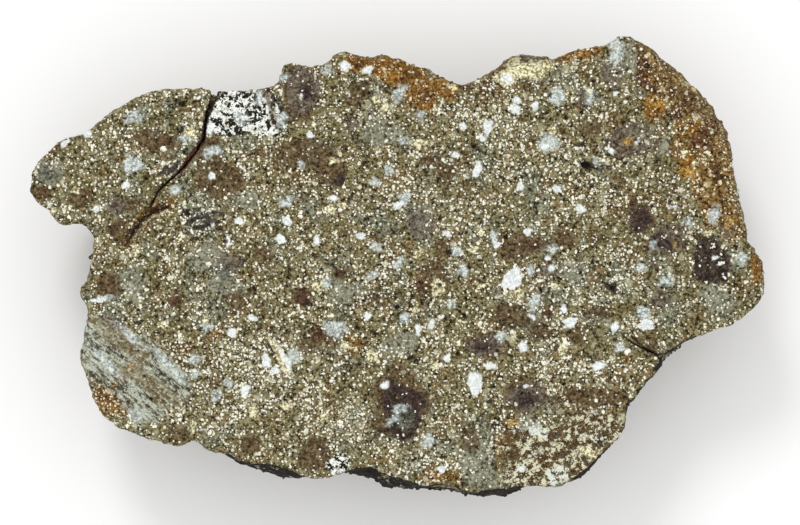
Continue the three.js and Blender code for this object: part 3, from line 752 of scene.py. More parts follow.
def paint(red: float, green: float, blue: float) -> tuple[float, float, float, float]:
    """The linear colour of a display colour.

    Args:
        red: 0 to 255.
        green: 0 to 255.
        blue: 0 to 255.

    Returns:
        Red, green, blue and an alpha of 1.
    """
    shown = Color((red / FULL_TONE, green / FULL_TONE, blue / FULL_TONE))
    return (*shown.from_srgb_to_scene_linear(), 1.0)


class Wire:
    """A node's output that takes part in Python arithmetic, which adds the Math nodes."""

    def __init__(self, graph: "Graph", socket: bpy.types.NodeSocket) -> None:
        """Wraps one socket of a graph."""
        self.graph = graph
        self.socket = socket

    def _math(self, operation: str, first: Any, second: Any = 0.0) -> "Wire":
        """One Math node."""
        node = self.graph.node("ShaderNodeMath", {"operation": operation}, {0: first, 1: second})
        return Wire(self.graph, node.outputs[0])

    def __add__(self, other: Any) -> "Wire":
        """self + other."""
        return self._math("ADD", self, other)

    def __sub__(self, other: Any) -> "Wire":
        """self - other."""
        return self._math("SUBTRACT", self, other)

    def __rsub__(self, other: Any) -> "Wire":
        """other - self."""
        return self._math("SUBTRACT", other, self)

    def __mul__(self, other: Any) -> "Wire":
        """self * other."""
        return self._math("MULTIPLY", self, other)

    def __truediv__(self, other: Any) -> "Wire":
        """self / other."""
        return self._math("DIVIDE", self, other)

    def under(self, limit: Any) -> "Wire":
        """1 where self is under the limit, and 0 elsewhere."""
        return self._math("LESS_THAN", self, limit)

    def most(self, other: Any) -> "Wire":
        """The larger of the two."""
        return self._math("MAXIMUM", self, other)

    def ease(self) -> "Wire":
        """self held to 0 to 1 and eased at both ends."""
        node = self.graph.node("ShaderNodeMapRange", {"interpolation_type": "SMOOTHSTEP"}, {"Value": self})
        return Wire(self.graph, node.outputs[0])


@dataclass(frozen=True)
class Step:
    """A soft step in a value: it begins at start, and a width further on it is full.

    With a width under 0 it falls. Its result runs from least to least plus strength.
    """

    start: float
    width: float
    strength: float = 1.0
    least: float = 0.0

    def of(self, value: Wire) -> Wire:
        """The step's result for a value."""
        return ((value - self.start) / self.width).ease() * self.strength + self.least


@dataclass(frozen=True)
class Cloud:
    """Smooth noise: the width of its features, its finer octaves and how strong they are."""

    size: float
    detail: float = 2.0
    roughness: float = 0.5


class Graph:
    """Adds nodes to a tree: settings first, and then the values or links of the sockets."""

    def __init__(self, tree: bpy.types.NodeTree) -> None:
        """Takes the tree to fill."""
        self.tree = tree

    def node(
        self, kind: str, settings: dict[str, Any] | None = None, sockets: dict[Any, Any] | None = None
    ) -> bpy.types.Node:
        """Adds one node.

        Args:
            kind: the node's type.
            settings: its properties.
            sockets: for each input, by name or number, a value, a Wire or a socket.

        Returns:
            The node.
        """
        node = self.tree.nodes.new(kind)
        for name, value in (settings or {}).items():
            setattr(node, name, value)
        for key, value in (sockets or {}).items():
            if isinstance(key, int):
                entry = node.inputs[key]
            else:
                entry = next(s for s in node.inputs if s.name == key and s.enabled)
            if isinstance(value, Wire):
                self.tree.links.new(value.socket, entry)
            elif isinstance(value, bpy.types.NodeSocket):
                self.tree.links.new(value, entry)
            else:
                entry.default_value = value
        return node

    def attribute(self, name: str) -> Wire:
        """A number stored on the mesh."""
        node = self.node("ShaderNodeAttribute", {"attribute_name": name})
        return Wire(self, node.outputs["Fac"])

    def mix(self, share: Any, first: Any, second: Any) -> bpy.types.NodeSocket:
        """Blends two colours.

        Args:
            share: how much of the second shows, 0 to 1.
            first: a colour or a link.
            second: a colour or a link.

        Returns:
            The colour's socket.
        """
        settings = {"data_type": "RGBA", "blend_type": "MIX", "clamp_factor": True}
        node = self.node("ShaderNodeMix", settings, {0: share, 6: first, 7: second})
        return node.outputs[2]

    def vector(self, operation: str, first: Any, second: Any) -> bpy.types.NodeSocket:
        """One Vector Math node on two vectors."""
        node = self.node("ShaderNodeVectorMath", {"operation": operation}, {0: first, 1: second})
        return node.outputs[0]

    def noise(self, place: Any, cloud: Cloud) -> bpy.types.Node:
        """One Noise node at these coordinates."""
        values = {"Vector": place, "Scale": 1 / cloud.size}
        values |= {"Detail": cloud.detail, "Roughness": cloud.roughness}
        return self.node("ShaderNodeTexNoise", {"noise_dimensions": "3D"}, values)

    def cloud(self, place: Any, cloud: Cloud) -> Wire:
        """Smooth noise from 0 to 1, about a half."""
        return Wire(self, self.noise(place, cloud).outputs["Fac"])

    def warped(self, place: Any, cloud: Cloud, reach: float) -> bpy.types.NodeSocket:
        """Coordinates shifted by smooth noise, by up to about the reach."""
        shift = self.noise(place, cloud).outputs["Color"]
        centred = self.vector("SUBTRACT", shift, (HALF,) * 3)
        return self.vector("ADD", place, self.vector("MULTIPLY", centred, (2 * reach,) * 3))

    def split(self, colour: bpy.types.NodeSocket) -> list[Wire]:
        """The three channels of a colour."""
        node = self.node("ShaderNodeSeparateColor", None, {0: colour})
        return [Wire(self, output) for output in node.outputs]

    def surface(self, colour: Any, roughness: Wire, shine: float, height: Wire, depth: float) -> None:
        """Ends a material's graph.

        Args:
            colour: the base colour.
            roughness: the roughness.
            shine: the level of the highlights.
            height: the height of the fine relief, about 0 to 1.
            depth: how deep the relief is where the height goes from 0 to 1.
        """
        bump = self.node("ShaderNodeBump", None, {"Distance": depth, "Height": height})
        values = {"Base Color": colour, "Roughness": roughness, "Specular IOR Level": shine}
        values["Normal"] = bump.outputs[0]
        shader = self.node("ShaderNodeBsdfPrincipled", None, values)
        self.node("ShaderNodeOutputMaterial", None, {"Surface": shader.outputs[0]})


def new_material(name: str) -> tuple[bpy.types.Material, Graph]:
    """An empty material and its graph."""
    made = bpy.data.materials.new(name)
    made.use_nodes = True
    made.node_tree.nodes.clear()
    return made, Graph(made.node_tree)


def strongest(shares: dict[Mark, Wire], weights: dict[Mark, float]) -> Wire:
    """The largest of some marks' shares, each times its weight."""
    return reduce(Wire.most, (shares[mark] * weight for mark, weight in weights.items()))


@dataclass(frozen=True)
class Tones:
    """Three colours of one kind of rock: of its dark parts, its middle ones and its light ones."""

    dark: tuple
    middle: tuple
    light: tuple

    def over(self, graph: Graph, share: Any, below: list[Any]) -> list[Any]:
        """Lays these colours over three others.

        Args:
            graph: the graph.
            share: how much these show.
            below: the three colours below.

        Returns:
            The three blended colours.
        """
        own = (self.dark, self.middle, self.light)
        return [graph.mix(share, under, over) for under, over in zip(below, own)]


@dataclass(frozen=True)
class Grit:
    """One size of grain: cell size, share of cells filled, radii in cells, and a seed."""

    cell: float
    share: float
    least: float
    most: float
    seed: float
    softness: float = 0.1
    way: tuple[float, float, float] = (1.0, 0.7, 0.3)

    def layer(
        self, graph: Graph, place: bpy.types.NodeSocket, density: Any, uneven: Wire
    ) -> tuple[Wire, Wire]:
        """Adds the grains to a graph.

        Args:
            graph: the graph.
            place: the coordinates.
            density: a factor on the share of cells filled.
            uneven: what makes the grains' outlines uneven.

        Returns:
            Where the grains are, 0 to 1, and a random number for each.
        """
        offset = graph.vector("ADD", place, tuple(self.seed * part for part in self.way))
        values = {"Vector": offset, "Scale": 1 / self.cell}
        cells = graph.node("ShaderNodeTexVoronoi", {"voronoi_dimensions": "3D", "feature": "F1"}, values)
        size, chance, tone = graph.split(cells.outputs["Color"])
        radius = size * (self.most - self.least) + self.least
        away = Wire(graph, cells.outputs["Distance"]) + uneven
        grain = ((radius - away) / self.softness).ease()
        return grain * chance.under(density * self.share), tone


class Guide(Enum):
    """What can guide where a colour of the rock shows: noises, and some shares made from them."""

    TINY = auto()
    RAGGED = auto()
    FUZZY = auto()
    HUE = auto()
    CROWD = auto()
    DUST = auto()
    EARTH = auto()
    FLECK = auto()
    BLOTCH = auto()
    BANDS = auto()
    BROAD = auto()
    BLUISH = auto()
    CHALKY = auto()
    TORN = auto()
    BARE = auto()


PLAIN_CLOUDS = {
    Guide.TINY: Cloud(0.46 * MM, 3.0, 0.75),
    Guide.RAGGED: Cloud(0.9 * MM, 4.0, 0.7),
    Guide.FUZZY: Cloud(3.4 * MM, 4.0, 0.65),
    Guide.HUE: Cloud(7 * MM, 4.0, 0.65),
    Guide.CROWD: Cloud(4.2 * MM),
}
WARPED_CLOUDS = {
    Guide.DUST: Cloud(0.9 * MM, 3.0, 0.75),
    Guide.EARTH: Cloud(4.4 * MM, 4.0, 0.7),
    Guide.FLECK: Cloud(0.82 * MM, 2.0, 0.6),
    Guide.BLOTCH: Cloud(0.95 * MM, 4.0, 0.8),
}
DRAWN_CLOUDS = {Guide.BANDS: Cloud(0.85 * MM, 4.0, 0.8), Guide.BROAD: Cloud(4.0 * MM, 2.0, 0.6)}
CENTRED = (Guide.RAGGED, Guide.FUZZY)


# How strongly each kind of patch shows, and its tones
PATCH_LOOKS = {
    Mark.GREY: (0.75, Tones(paint(92, 92, 74), paint(134, 134, 114), paint(160, 162, 144))),
    Mark.BROWN: (0.85, Tones(paint(52, 38, 20), paint(90, 73, 49), paint(122, 105, 78))),
    Mark.UMBER: (0.88, Tones(paint(54, 32, 8), paint(103, 74, 32), paint(150, 118, 62))),
    Mark.DUSK: (0.75, Tones(paint(60, 49, 42), paint(100, 90, 78), paint(132, 124, 110))),
    Mark.PURPLE: (0.92, Tones(paint(30, 22, 20), paint(53, 41, 37), paint(80, 67, 61))),
    Mark.RUST: (0.88, Tones(paint(68, 38, 8), paint(120, 79, 25), paint(160, 118, 52))),
    Mark.OCHRE: (0.75, Tones(paint(110, 70, 14), paint(160, 118, 46), paint(222, 188, 104))),
    Mark.SLATE: (0.75, Tones(paint(36, 38, 32), paint(78, 80, 70), paint(130, 132, 118))),
    Mark.RED: (0.82, Tones(paint(42, 24, 17), paint(73, 49, 35), paint(112, 84, 60))),
}

# How much marks thin out the grains, turn them gold, cross the clasts and keep dust off
QUIET = {Mark.BROWN: 1.0, Mark.PURPLE: 1.0, Mark.DUSK: 1.0, Mark.GREY: 0.6, Mark.RUST: 0.6}
GOLDEN = {Mark.RUST: 0.55, Mark.OCHRE: 0.8, Mark.UMBER: 0.35}
STREAKED = {Mark.RED: 1.0, Mark.RUST: 0.6}
RUSTY = {Mark.RUST: 1.0, Mark.OCHRE: 1.0, Mark.RED: 1.0}


@dataclass(frozen=True)
class Coat:
    """A colour laid on a clast where its guide passes a step, with a tint where another guide says."""

    guide: Guide
    step: Step
    colour: tuple
    tint: tuple | None = None
    tinted_by: Guide | None = None


@dataclass(frozen=True)
class ClastLook:
    """A kind of clast: its border in reference pixels, how much it covers, its base and its coats.

    Where worn_by is named, the clast's share is lowered by that guide, as far as wear says.
    """

    mark: Mark
    raggedness: float
    border: float
    strength: float
    base: tuple
    coats: tuple[Coat, ...]
    worn_by: Guide | None = None
    wear: float = 1.0

    def over(self, graph: Graph, colour: Any, guides: dict[Guide, Wire]) -> bpy.types.NodeSocket:
        """Lays the clasts over the rest.

        Args:
            graph: the graph.
            colour: what lies below.
            guides: the guides by name.

        Returns:
            The colour.
        """
        inward = graph.attribute(self.mark.value) + guides[Guide.RAGGED] * self.raggedness
        share = (inward / self.border + HALF).ease() * self.strength
        if self.worn_by:
            share = share * (guides[self.worn_by] * self.wear + (1 - self.wear))
        own = self.base
        for coat in self.coats:
            tone = coat.colour
            if coat.tinted_by:
                tone = graph.mix(guides[coat.tinted_by], tone, coat.tint)
            own = graph.mix(coat.step.of(guides[coat.guide]), own, tone)
        return graph.mix(share, colour, own)


MOTTLE = Step(0.4, 0.18)

CLAST_LOOKS = (
    ClastLook(
        Mark.GNEISS, 16, 6, 0.92, paint(56, 48, 30),
        (
            Coat(Guide.BANDS, Step(0.44, 0.12), paint(180, 185, 168)),
            Coat(Guide.BROAD, Step(0.5, 0.1, 0.6), paint(126, 112, 76)),
            Coat(Guide.TINY, Step(0.44, -0.05, 0.75), paint(70, 62, 42)),
            Coat(Guide.TINY, Step(0.57, 0.04, 0.6), paint(222, 226, 208)),
        ),
        Guide.BARE,
    ),
    ClastLook(
        Mark.GRANITE, 16, 2, 0.95, paint(170, 168, 148),
        (
            Coat(Guide.TINY, Step(0.42, 0.1), paint(244, 248, 244)),
            Coat(Guide.FLECK, Step(0.505, 0.02), paint(24, 20, 13)),
        ),
        Guide.BARE,
    ),
    ClastLook(
        Mark.MOTTLED, 22, 6, 0.9, paint(34, 21, 9),
        (
            Coat(Guide.TINY, Step(0.42, 0.14), paint(94, 72, 42)),
            Coat(
                Guide.BLOTCH, Step(0.522, 0.04), paint(220, 216, 182), paint(222, 229, 218), Guide.BLUISH
            ),
            Coat(Guide.TINY, Step(0.42, -0.05, 0.5), paint(96, 78, 48)),
        ),
    ),
    ClastLook(
        Mark.PALE, 11, 5, 0.9, paint(152, 160, 152),
        (Coat(Guide.TINY, MOTTLE, paint(222, 232, 230)),),
        Guide.TORN,
    ),
    ClastLook(
        Mark.CREAM, 11, 2.4, 1.0, paint(122, 106, 62),
        (Coat(Guide.TINY, MOTTLE, paint(246, 242, 202)),),
        Guide.TORN, 0.4,
    ),
    ClastLook(
        Mark.WHITE, 7, 2, 0.97, paint(176, 184, 180),
        (
            Coat(
                Guide.TINY, Step(0.4, 0.18, 0.6, 0.4), paint(247, 250, 246), paint(214, 227, 230),
                Guide.CHALKY,
            ),
        ),
    ),
    ClastLook(
        Mark.BLACK, 9, 1.8, 0.92, paint(22, 18, 14),
        (Coat(Guide.TINY, MOTTLE, paint(62, 52, 42)),),
    ),
    ClastLook(
        Mark.STAIN, 6, 1.6, 0.95, paint(36, 19, 10),
        (Coat(Guide.HUE, Step(0.5, 0.12, 0.75), paint(72, 40, 20)),),
    ),
)


@dataclass(frozen=True)
class RockFinish:
    """The look of the rock: a speckled olive matrix, its clasts and patches, weathered sides, near-black
    painted shade strips on the lower broken sides, and painted shade in the pits.
    """

    warp: Cloud = Cloud(2.0 * MM, 1.0)
    warp_reach: float = 0.35 * MM
    band_turn: float = 0.69
    band_stretch: tuple[float, float, float] = (0.26, 1.0, 0.4)
    patch_fuzz: float = 15.0
    patch_rag: float = 7.0
    patch_border: Step = Step(-1.8, 5.5)
    warm: Tones = Tones(paint(44, 35, 13), paint(102, 93, 60), paint(154, 145, 108))
    cool: Tones = Tones(paint(44, 43, 30), paint(104, 105, 84), paint(154, 157, 138))
    cool_step: Step = Step(0.5, 0.12, 0.75)
    tan: Tones = Tones(paint(44, 29, 10), paint(95, 77, 45), paint(144, 125, 84))
    tan_step: Step = Step(0.5, 0.1, 0.85)
    tiny_share: float = 0.6
    middle_step: Step = Step(0.41, 0.1)
    light_step: Step = Step(0.5, 0.1)

    crowd_step: Step = Step(0.34, 0.32, 1.2, 0.35)
    salt_grains: float = 0.7
    salt_specks: float = 0.8
    speck_density: float = 0.75
    speck_strength: float = 0.85
    quiet_grains: float = 0.94
    quiet_specks: float = 0.6
    outline_tiny: float = 1.6
    outline_dust: float = 1.4
    grain: tuple = paint(250, 248, 228)
    grain_dull: tuple = paint(184, 178, 144)
    grain_gold: tuple = paint(220, 186, 104)
    grain_strength: float = 0.95
    grain_fade: Step = Step(0.48, -0.12, 0.5)
    dull_step: Step = Step(0.35, 0.5)
    dull_loss: float = 0.35
    speck: tuple = paint(24, 18, 9)
    grits: tuple[Grit, ...] = (
        Grit(0.42 * MM, 0.52, 0.22, 0.6, 0.4, 0.12),
        Grit(0.68 * MM, 0.27, 0.2, 0.54, 3.1),
        Grit(1.2 * MM, 0.11, 0.18, 0.5, 7.7),
        Grit(2.1 * MM, 0.022, 0.22, 0.45, 13.3, 0.06),
    )
    specks: Grit = Grit(0.6 * MM, 0.58, 0.2, 0.64, 1.7, 0.12)

    torn_step: Step = Step(0.43, 0.08, 0.5, 0.5)
    bluish_fuzz: float = 2.0
    bluish_blotch: float = 0.08
    chalky_shift: float = 0.06
    chalky_gain: float = 2.5
    dusty_step: Step = Step(0.4, 0.2)
    dusty_dark: tuple = paint(64, 52, 34)
    dusty_light: tuple = paint(124, 110, 80)
    dusty_strength: float = 0.4
    # Painted shade strips on the lower broken sides: near-black, with a few brown spots
    painted_shade_rag: float = 20.0
    painted_shade_fuzz: float = 66.0
    painted_shade_border: Step = Step(0.0, 2.0, 0.95)
    painted_shade_end: Step = Step(-6.5, 2.0)
    painted_shade_tone_from: float = 0.38
    painted_shade_tone_over: float = 0.24
    painted_shade_dark: tuple = paint(5, 4, 9)
    painted_shade_light: tuple = paint(27, 23, 27)
    painted_shade_brown: tuple = paint(56, 44, 33)
    painted_shade_brown_step: Step = Step(0.03, 0.06, 0.35)
    # Painted shade that darkens the pits with depth
    pit_shade_strength: float = 0.85
    pit_shade_colour: tuple = paint(28, 21, 12)
    relief_tiny: float = 1.6
    relief_broken: float = 1.6
    relief_sawn: float = 0.35
    relief_depth: float = 0.11 * MM
    roughness: float = 0.92
    roughness_loss: float = 0.1
    shine: float = 0.15

    def material(self) -> bpy.types.Material:
        """Builds the material.

        Returns:
            The material.
        """
        made, graph = new_material("suevite_finish")
        place = graph.node("ShaderNodeTexCoord").outputs["Object"]
        warped = graph.warped(place, self.warp, self.warp_reach)
        guides = self._guides(graph, place, warped)
        shares = {
            mark: self._patch(graph, guides, mark) * strength
            for mark, (strength, _) in PATCH_LOOKS.items()
        }
        tiny, dust = guides[Guide.TINY], guides[Guide.DUST]
        grainy = tiny * self.tiny_share + dust * (1 - self.tiny_share)
        colour = self._matrix(graph, guides, shares, warped, grainy)

        bluish = shares[Mark.GREY] / PATCH_LOOKS[Mark.GREY][0]
        guides[Guide.BLUISH] = bluish + guides[Guide.FUZZY] * self.bluish_fuzz
        guides[Guide.BLOTCH] += guides[Guide.BLUISH] * self.bluish_blotch
        guides[Guide.CHALKY] = (guides[Guide.RAGGED] + self.chalky_shift) * self.chalky_gain
        guides[Guide.TORN] = self.torn_step.of(dust)
        guides[Guide.BARE] = 1.0 - strongest(shares, STREAKED)
        for look in CLAST_LOOKS:
            colour = look.over(graph, colour, guides)

        broken = graph.attribute("broken")
        dusty = graph.mix(self.dusty_step.of(tiny), self.dusty_dark, self.dusty_light)
        clean = 1.0 - strongest(shares, RUSTY)
        colour = graph.mix(broken * clean * self.dusty_strength, colour, dusty)
        # Near-black painted shade on the lower broken sides
        colour = self._painted_shade(graph, guides, colour, grainy)
        # Painted shade in the pits, darker with depth
        colour = graph.mix(graph.attribute("pit") * self.pit_shade_strength, colour, self.pit_shade_colour)

        height = (tiny * self.relief_tiny + dust) * (broken * self.relief_broken + self.relief_sawn)
        roughness = self.roughness - dust * self.roughness_loss
        graph.surface(colour, roughness, self.shine, height, self.relief_depth)
        return made

    def _guides(self, graph: Graph, place: Any, warped: Any) -> dict[Guide, Wire]:
        """Makes the noises.

        Args:
            graph: the graph.
            place: the coordinates.
            warped: the same, shifted unevenly.

        Returns:
            Each noise by its name.
        """
        values = {"Vector": warped, "Rotation": (0, 0, self.band_turn)}
        turned = graph.node("ShaderNodeMapping", None, values).outputs[0]
        drawn = graph.vector("MULTIPLY", turned, self.band_stretch)
        guides = {}
        for where, clouds in ((place, PLAIN_CLOUDS), (warped, WARPED_CLOUDS), (drawn, DRAWN_CLOUDS)):
            for guide, cloud in clouds.items():
                guides[guide] = graph.cloud(where, cloud)
        for guide in CENTRED:
            guides[guide] -= HALF
        return guides

    def _patch(self, graph: Graph, guides: dict[Guide, Wire], mark: Mark) -> Wire:
        """Where a kind of patch is, with a border that fades unevenly."""
        inward = graph.attribute(mark.value) + guides[Guide.FUZZY] * self.patch_fuzz
        return self.patch_border.of(inward + guides[Guide.RAGGED] * self.patch_rag)

    def _matrix(
        self, graph: Graph, guides: dict[Guide, Wire], shares: dict[Mark, Wire], warped: Any, grainy: Wire
    ) -> bpy.types.NodeSocket:
        """Colours the matrix and its patches, and strews the grains and the specks.

        Args:
            graph: the graph.
            guides: the noises.
            shares: how much of each kind of patch shows.
            warped: uneven coordinates.
            grainy: the noise that parts dark, middle and light.

        Returns:
            The colour.
        """
        tiny, dust = guides[Guide.TINY], guides[Guide.DUST]
        ramp = [self.warm.dark, self.warm.middle, self.warm.light]
        ramp = self.cool.over(graph, self.cool_step.of(guides[Guide.HUE]), ramp)
        ramp = self.tan.over(graph, self.tan_step.of(guides[Guide.EARTH]), ramp)
        for mark, (_, tones) in PATCH_LOOKS.items():
            ramp = tones.over(graph, shares[mark], ramp)
        colour = graph.mix(self.middle_step.of(grainy), ramp[0], ramp[1])
        colour = graph.mix(self.light_step.of(grainy), colour, ramp[2])

        salt = self._patch(graph, guides, Mark.SALT)
        quiet = strongest(shares, QUIET)
        golden = strongest(shares, GOLDEN)
        crowd = self.crowd_step.of(guides[Guide.CROWD]) + salt * self.salt_grains
        density = crowd * (1.0 - quiet * self.quiet_grains)
        uneven = (tiny - HALF) * self.outline_tiny + (dust - HALF) * self.outline_dust
        filled = salt * self.salt_specks + self.speck_density
        specks, _ = self.specks.layer(graph, warped, filled, uneven)
        shown = specks * (1.0 - quiet * self.quiet_specks) * self.speck_strength
        colour = graph.mix(shown, colour, self.speck)
        for grit in self.grits:
            mask, tone = grit.layer(graph, warped, density, uneven)
            dull = self.dull_step.of(tone)
            shade = graph.mix(dull, self.grain, self.grain_dull)
            shade = graph.mix(golden, shade, self.grain_gold)
            shade = graph.mix(self.grain_fade.of(tiny), shade, ramp[1])
            colour = graph.mix(mask * (self.grain_strength - dull * self.dull_loss), colour, shade)
        return colour

    def _painted_shade(
        self, graph: Graph, guides: dict[Guide, Wire], colour: Any, grainy: Wire
    ) -> bpy.types.NodeSocket:
        """Lays near-black painted shade over the broken sides where the strips lie, in place of shadow.

        Args:
            graph: the graph.
            guides: the noises.
            colour: what lies below.
            grainy: the noise that parts its dark and light tones.

        Returns:
            The colour.
        """
        fuzzy = guides[Guide.FUZZY]
        inward = graph.attribute(Mark.PAINTED_SHADE.value)
        ragged = inward + guides[Guide.RAGGED] * self.painted_shade_rag + fuzzy * self.painted_shade_fuzz
        share = self.painted_shade_border.of(ragged) * self.painted_shade_end.of(inward)
        level = (grainy - self.painted_shade_tone_from) / self.painted_shade_tone_over
        painted_shade_colour = graph.mix(level, self.painted_shade_dark, self.painted_shade_light)
        painted_shade_colour = graph.mix(self.painted_shade_brown_step.of(fuzzy), painted_shade_colour, self.painted_shade_brown)
        return graph.mix(share, colour, painted_shade_colour)


@dataclass(frozen=True)
class GrainFinish:
    """The look of the grains that stand out of the broken surfaces, painted near-black where the painted
    shade strips lie.
    """

    light: tuple = paint(214, 208, 180)
    middle: tuple = paint(150, 144, 118)
    dark: tuple = paint(70, 58, 40)
    dusty: tuple = paint(112, 96, 66)
    # Painted shade colour for grains in the shade strips
    painted_shade_colour: tuple = paint(13, 11, 15)
    mottle: Cloud = Cloud(0.35 * MM, 3.0, 0.7)
    middle_step: Step = Step(0.35, 0.2)
    light_step: Step = Step(0.68, 0.2)
    dusty_step: Step = Step(0.45, 0.25, 0.45)
    painted_shade_border: Step = Step(0.0, 2.0, 0.9)
    relief_depth: float = 0.05 * MM
    roughness: float = 0.7
    roughness_gain: float = 0.2
    shine: float = 0.35

    def material(self) -> bpy.types.Material:
        """Builds the material.

        Returns:
            The material.
        """
        made, graph = new_material("grain_finish")
        place = graph.node("ShaderNodeTexCoord").outputs["Object"]
        tone = graph.attribute("tone")
        mottle = graph.cloud(place, self.mottle)
        colour = graph.mix(self.middle_step.of(tone), self.dark, self.middle)
        colour = graph.mix(self.light_step.of(tone), colour, self.light)
        colour = graph.mix(self.dusty_step.of(mottle), colour, self.dusty)
        # Painted shade where the shade strips lie
        painted_shade_share = self.painted_shade_border.of(graph.attribute(Mark.PAINTED_SHADE.value))
        colour = graph.mix(painted_shade_share, colour, self.painted_shade_colour)
        roughness = mottle * self.roughness_gain + self.roughness
        graph.surface(colour, roughness, self.shine, mottle, self.relief_depth)
        return made


@dataclass
class StandingGrains:
    """Small angular grains that weathering has left standing on the broken sides and back."""

    view: ReferenceView
    finish: GrainFinish = GrainFinish()
    per_square_metre: float = 210000.0
    least: float = 0.22 * MM
    most: float = 0.62 * MM
    least_stretch: float = 0.55
    bare_rim: float = 2.6 * MM
    bare_foot: float = 1.4 * MM
    size_seed: int = 5
    stretch_seed: int = 6
    tone_seed: int = 9

    def build(self, rock: bpy.types.Object) -> bpy.types.Object:
        """Scatters the grains on the rock's broken surfaces.

        Args:
            rock: the rock's skin.

        Returns:
            The grains as one plain mesh object, at the origin.
        """
        bed = self._bed(rock)
        modifier = bed.modifiers.new("grains", "NODES")
        tree, inputs = self._tree()
        modifier.node_group = tree
        modifier[inputs["Density"]] = self.per_square_metre
        modifier[inputs["Least"]] = self.least
        modifier[inputs["Most"]] = self.most
        modifier[inputs["Seed"]] = SEED
        modifier[inputs["Finish"]] = self.finish.material()
        depsgraph = bpy.context.evaluated_depsgraph_get()
        mesh = bpy.data.meshes.new_from_object(bed.evaluated_get(depsgraph))
        mesh.name = "standing_grains"
        bpy.data.objects.remove(bed)
        held = np.clip(vertex_places(mesh), np.array(self.view.low), np.array(self.view.high))
        mesh.vertices.foreach_set("co", held.ravel())
        log.info("standing_grains: %d triangles", len(mesh.polygons))
        return add_object("standing_grains", mesh)

    def _bed(self, rock: bpy.types.Object) -> bpy.types.Object:
        """A copy of the rock's broken faces, away from the sawn rim and the foot."""
        skin = bmesh.new()
        skin.from_mesh(rock.data)
        rim = self.view.high.z - self.bare_rim
        bare = [f for f in skin.faces if not self.bare_foot < f.calc_center_median().z < rim]
        bmesh.ops.delete(skin, geom=bare, context="FACES")
        return add_skin("grain_bed", skin)

    def _tree(self) -> tuple[bpy.types.NodeTree, dict[str, str]]:
        """Builds the scatter.

        Returns:
            The tree, and the identifier of each of its inputs by name.
        """
        tree = bpy.data.node_groups.new("grain_scatter", "GeometryNodeTree")
        tree.interface.new_socket("Bed", in_out="INPUT", socket_type="NodeSocketGeometry")
        kinds = {"Density": "Float", "Least": "Float", "Most": "Float", "Seed": "Int", "Finish": "Material"}
        inputs = {
            name: tree.interface.new_socket(
                name, in_out="INPUT", socket_type="NodeSocket" + kind
            ).identifier
            for name, kind in kinds.items()
        }
        tree.interface.new_socket("Grains", in_out="OUTPUT", socket_type="NodeSocketGeometry")
        graph = Graph(tree)
        given = graph.node("NodeGroupInput").outputs

        def chance(kind: str, least: Any, most: Any, seed: Any) -> bpy.types.NodeSocket:
            """A random value for each grain."""
            values = {"Min": least, "Max": most, "Seed": seed}
            node = graph.node("FunctionNodeRandomValue", {"data_type": kind}, values)
            return next(s for s in node.outputs if s.enabled)

        points = graph.node(
            "GeometryNodeDistributePointsOnFaces",
            {"distribute_method": "RANDOM"},
            {"Mesh": given["Bed"], "Density": given["Density"], "Seed": given["Seed"]},
        )
        shape = graph.node("GeometryNodeMeshIcoSphere", None, {"Radius": 1.0, "Subdivisions": 1})
        spin = chance("FLOAT_VECTOR", (0.0,) * 3, (math.tau,) * 3, given["Seed"])
        rotation = graph.node("FunctionNodeEulerToRotation", None, {"Euler": spin})
        stretch = chance("FLOAT_VECTOR", (self.least_stretch,) * 3, (1.0,) * 3, self.stretch_seed)
        size = chance("FLOAT", given["Least"], given["Most"], self.size_seed)
        scale = graph.node("ShaderNodeVectorMath", {"operation": "SCALE"}, {0: stretch, "Scale": size})
        placed = graph.node(
            "GeometryNodeInstanceOnPoints",
            None,
            {
                "Points": points.outputs["Points"],
                "Instance": shape.outputs["Mesh"],
                "Rotation": rotation.outputs[0],
                "Scale": scale.outputs[0],
            },
        )
        tone = chance("FLOAT", 0.0, 1.0, self.tone_seed)
        toned = graph.node(
            "GeometryNodeStoreNamedAttribute",
            {"data_type": "FLOAT", "domain": "INSTANCE"},
            {"Geometry": placed.outputs[0], "Name": "tone", "Value": tone},
        )
        real = graph.node("GeometryNodeRealizeInstances", None, {"Geometry": toned.outputs[0]})
        values = {"Geometry": real.outputs[0], "Material": given["Finish"]}
        dressed = graph.node("GeometryNodeSetMaterial", None, values)
        graph.node("NodeGroupOutput", None, {0: dressed.outputs[0]})
        return tree, inputs


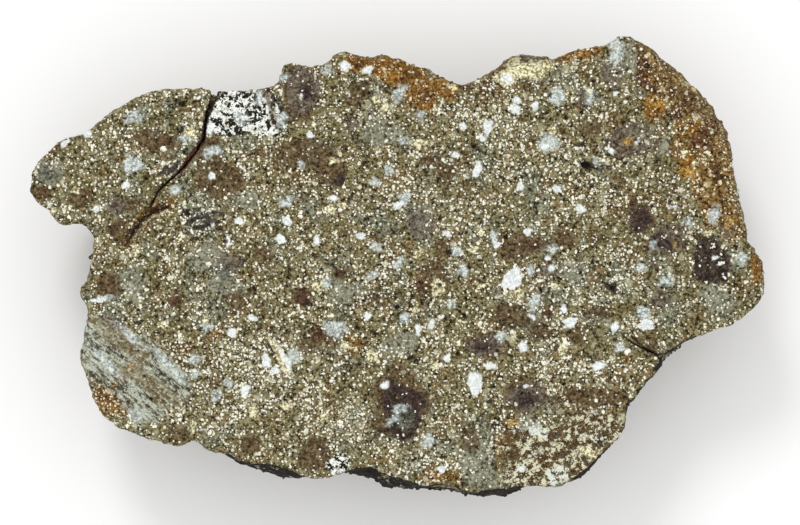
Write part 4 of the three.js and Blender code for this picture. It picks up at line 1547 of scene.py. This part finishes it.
@dataclass
class Studio:
    """The pale floor, the soft light and the camera straight above the sawn face."""

    view: ReferenceView
    camera_height: float = 2.0
    sensor_width: float = 36.0
    floor_reach: float = 6.0
    floor_colour: tuple = paint(252, 252, 252)
    floor_roughness: float = 0.9
    floor_shine: float = 0.1
    key_place: tuple[float, float, float] = (-0.6, 1.7, 2.0)
    key_size: float = 0.8
    key_power: float = 17.8
    fill: float = 0.95
    fill_colour: tuple = (1.0, 1.0, 1.0, 1.0)

    def build(self) -> None:
        """Makes the floor, the lights and the camera."""
        self._floor()
        self._lights()
        self._camera()

    def _floor(self) -> None:
        """A plain pale floor that the slab rests on."""
        reach = self.floor_reach
        corners = [(-reach, -reach, 0), (reach, -reach, 0), (reach, reach, 0), (-reach, reach, 0)]
        mesh = bpy.data.meshes.new("floor")
        mesh.from_pydata(corners, [], [(0, 1, 2, 3)])
        made = bpy.data.materials.new("floor_finish")
        made.use_nodes = True
        shader = made.node_tree.nodes["Principled BSDF"]
        shader.inputs["Base Color"].default_value = self.floor_colour
        shader.inputs["Roughness"].default_value = self.floor_roughness
        shader.inputs["Specular IOR Level"].default_value = self.floor_shine
        mesh.materials.append(made)
        add_object("floor", mesh)

    def _lights(self) -> None:
        """A broad key light from the top of the picture, and an even fill all round."""
        data = bpy.data.lights.new("key", "AREA")
        data.shape = "DISK"
        data.size = self.key_size
        data.energy = self.key_power
        key = add_object("key", data)
        key.location = self.key_place
        key.rotation_euler = (-Vector(self.key_place)).to_track_quat("-Z", "Y").to_euler()
        world = bpy.data.worlds.new("studio")
        world.use_nodes = True
        backdrop = world.node_tree.nodes["Background"]
        backdrop.inputs["Color"].default_value = self.fill_colour
        backdrop.inputs["Strength"].default_value = self.fill
        bpy.context.scene.world = world

    def _camera(self) -> None:
        """A long lens that frames the slab as the reference view does."""
        x, y = self.view.place(self.view.width / 2, self.view.height / 2)
        data = bpy.data.cameras.new("camera")
        data.sensor_width = self.sensor_width
        data.lens = self.sensor_width * self.camera_height / (self.view.width * self.view.pixel)
        camera = add_object("camera", data)
        camera.location = (x, y, self.view.high.z + self.camera_height)
        bpy.context.scene.camera = camera
        bpy.context.scene.view_settings.view_transform = "Standard"


def main() -> None:
    """Builds the rock, its grains and the studio."""
    logging.basicConfig(level=logging.INFO, format="%(message)s")
    low, high = cad_box
    view = ReferenceView(low, high)
    rock = SlabSkin(view).build()
    rock.data.materials.append(RockFinish().material())
    grains = StandingGrains(view).build(rock)
    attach(rock, BODY)
    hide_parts(SLAB_NODE)
    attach(grains, BODY)
    Studio(view).build()


if __name__ == "__main__":
    main()
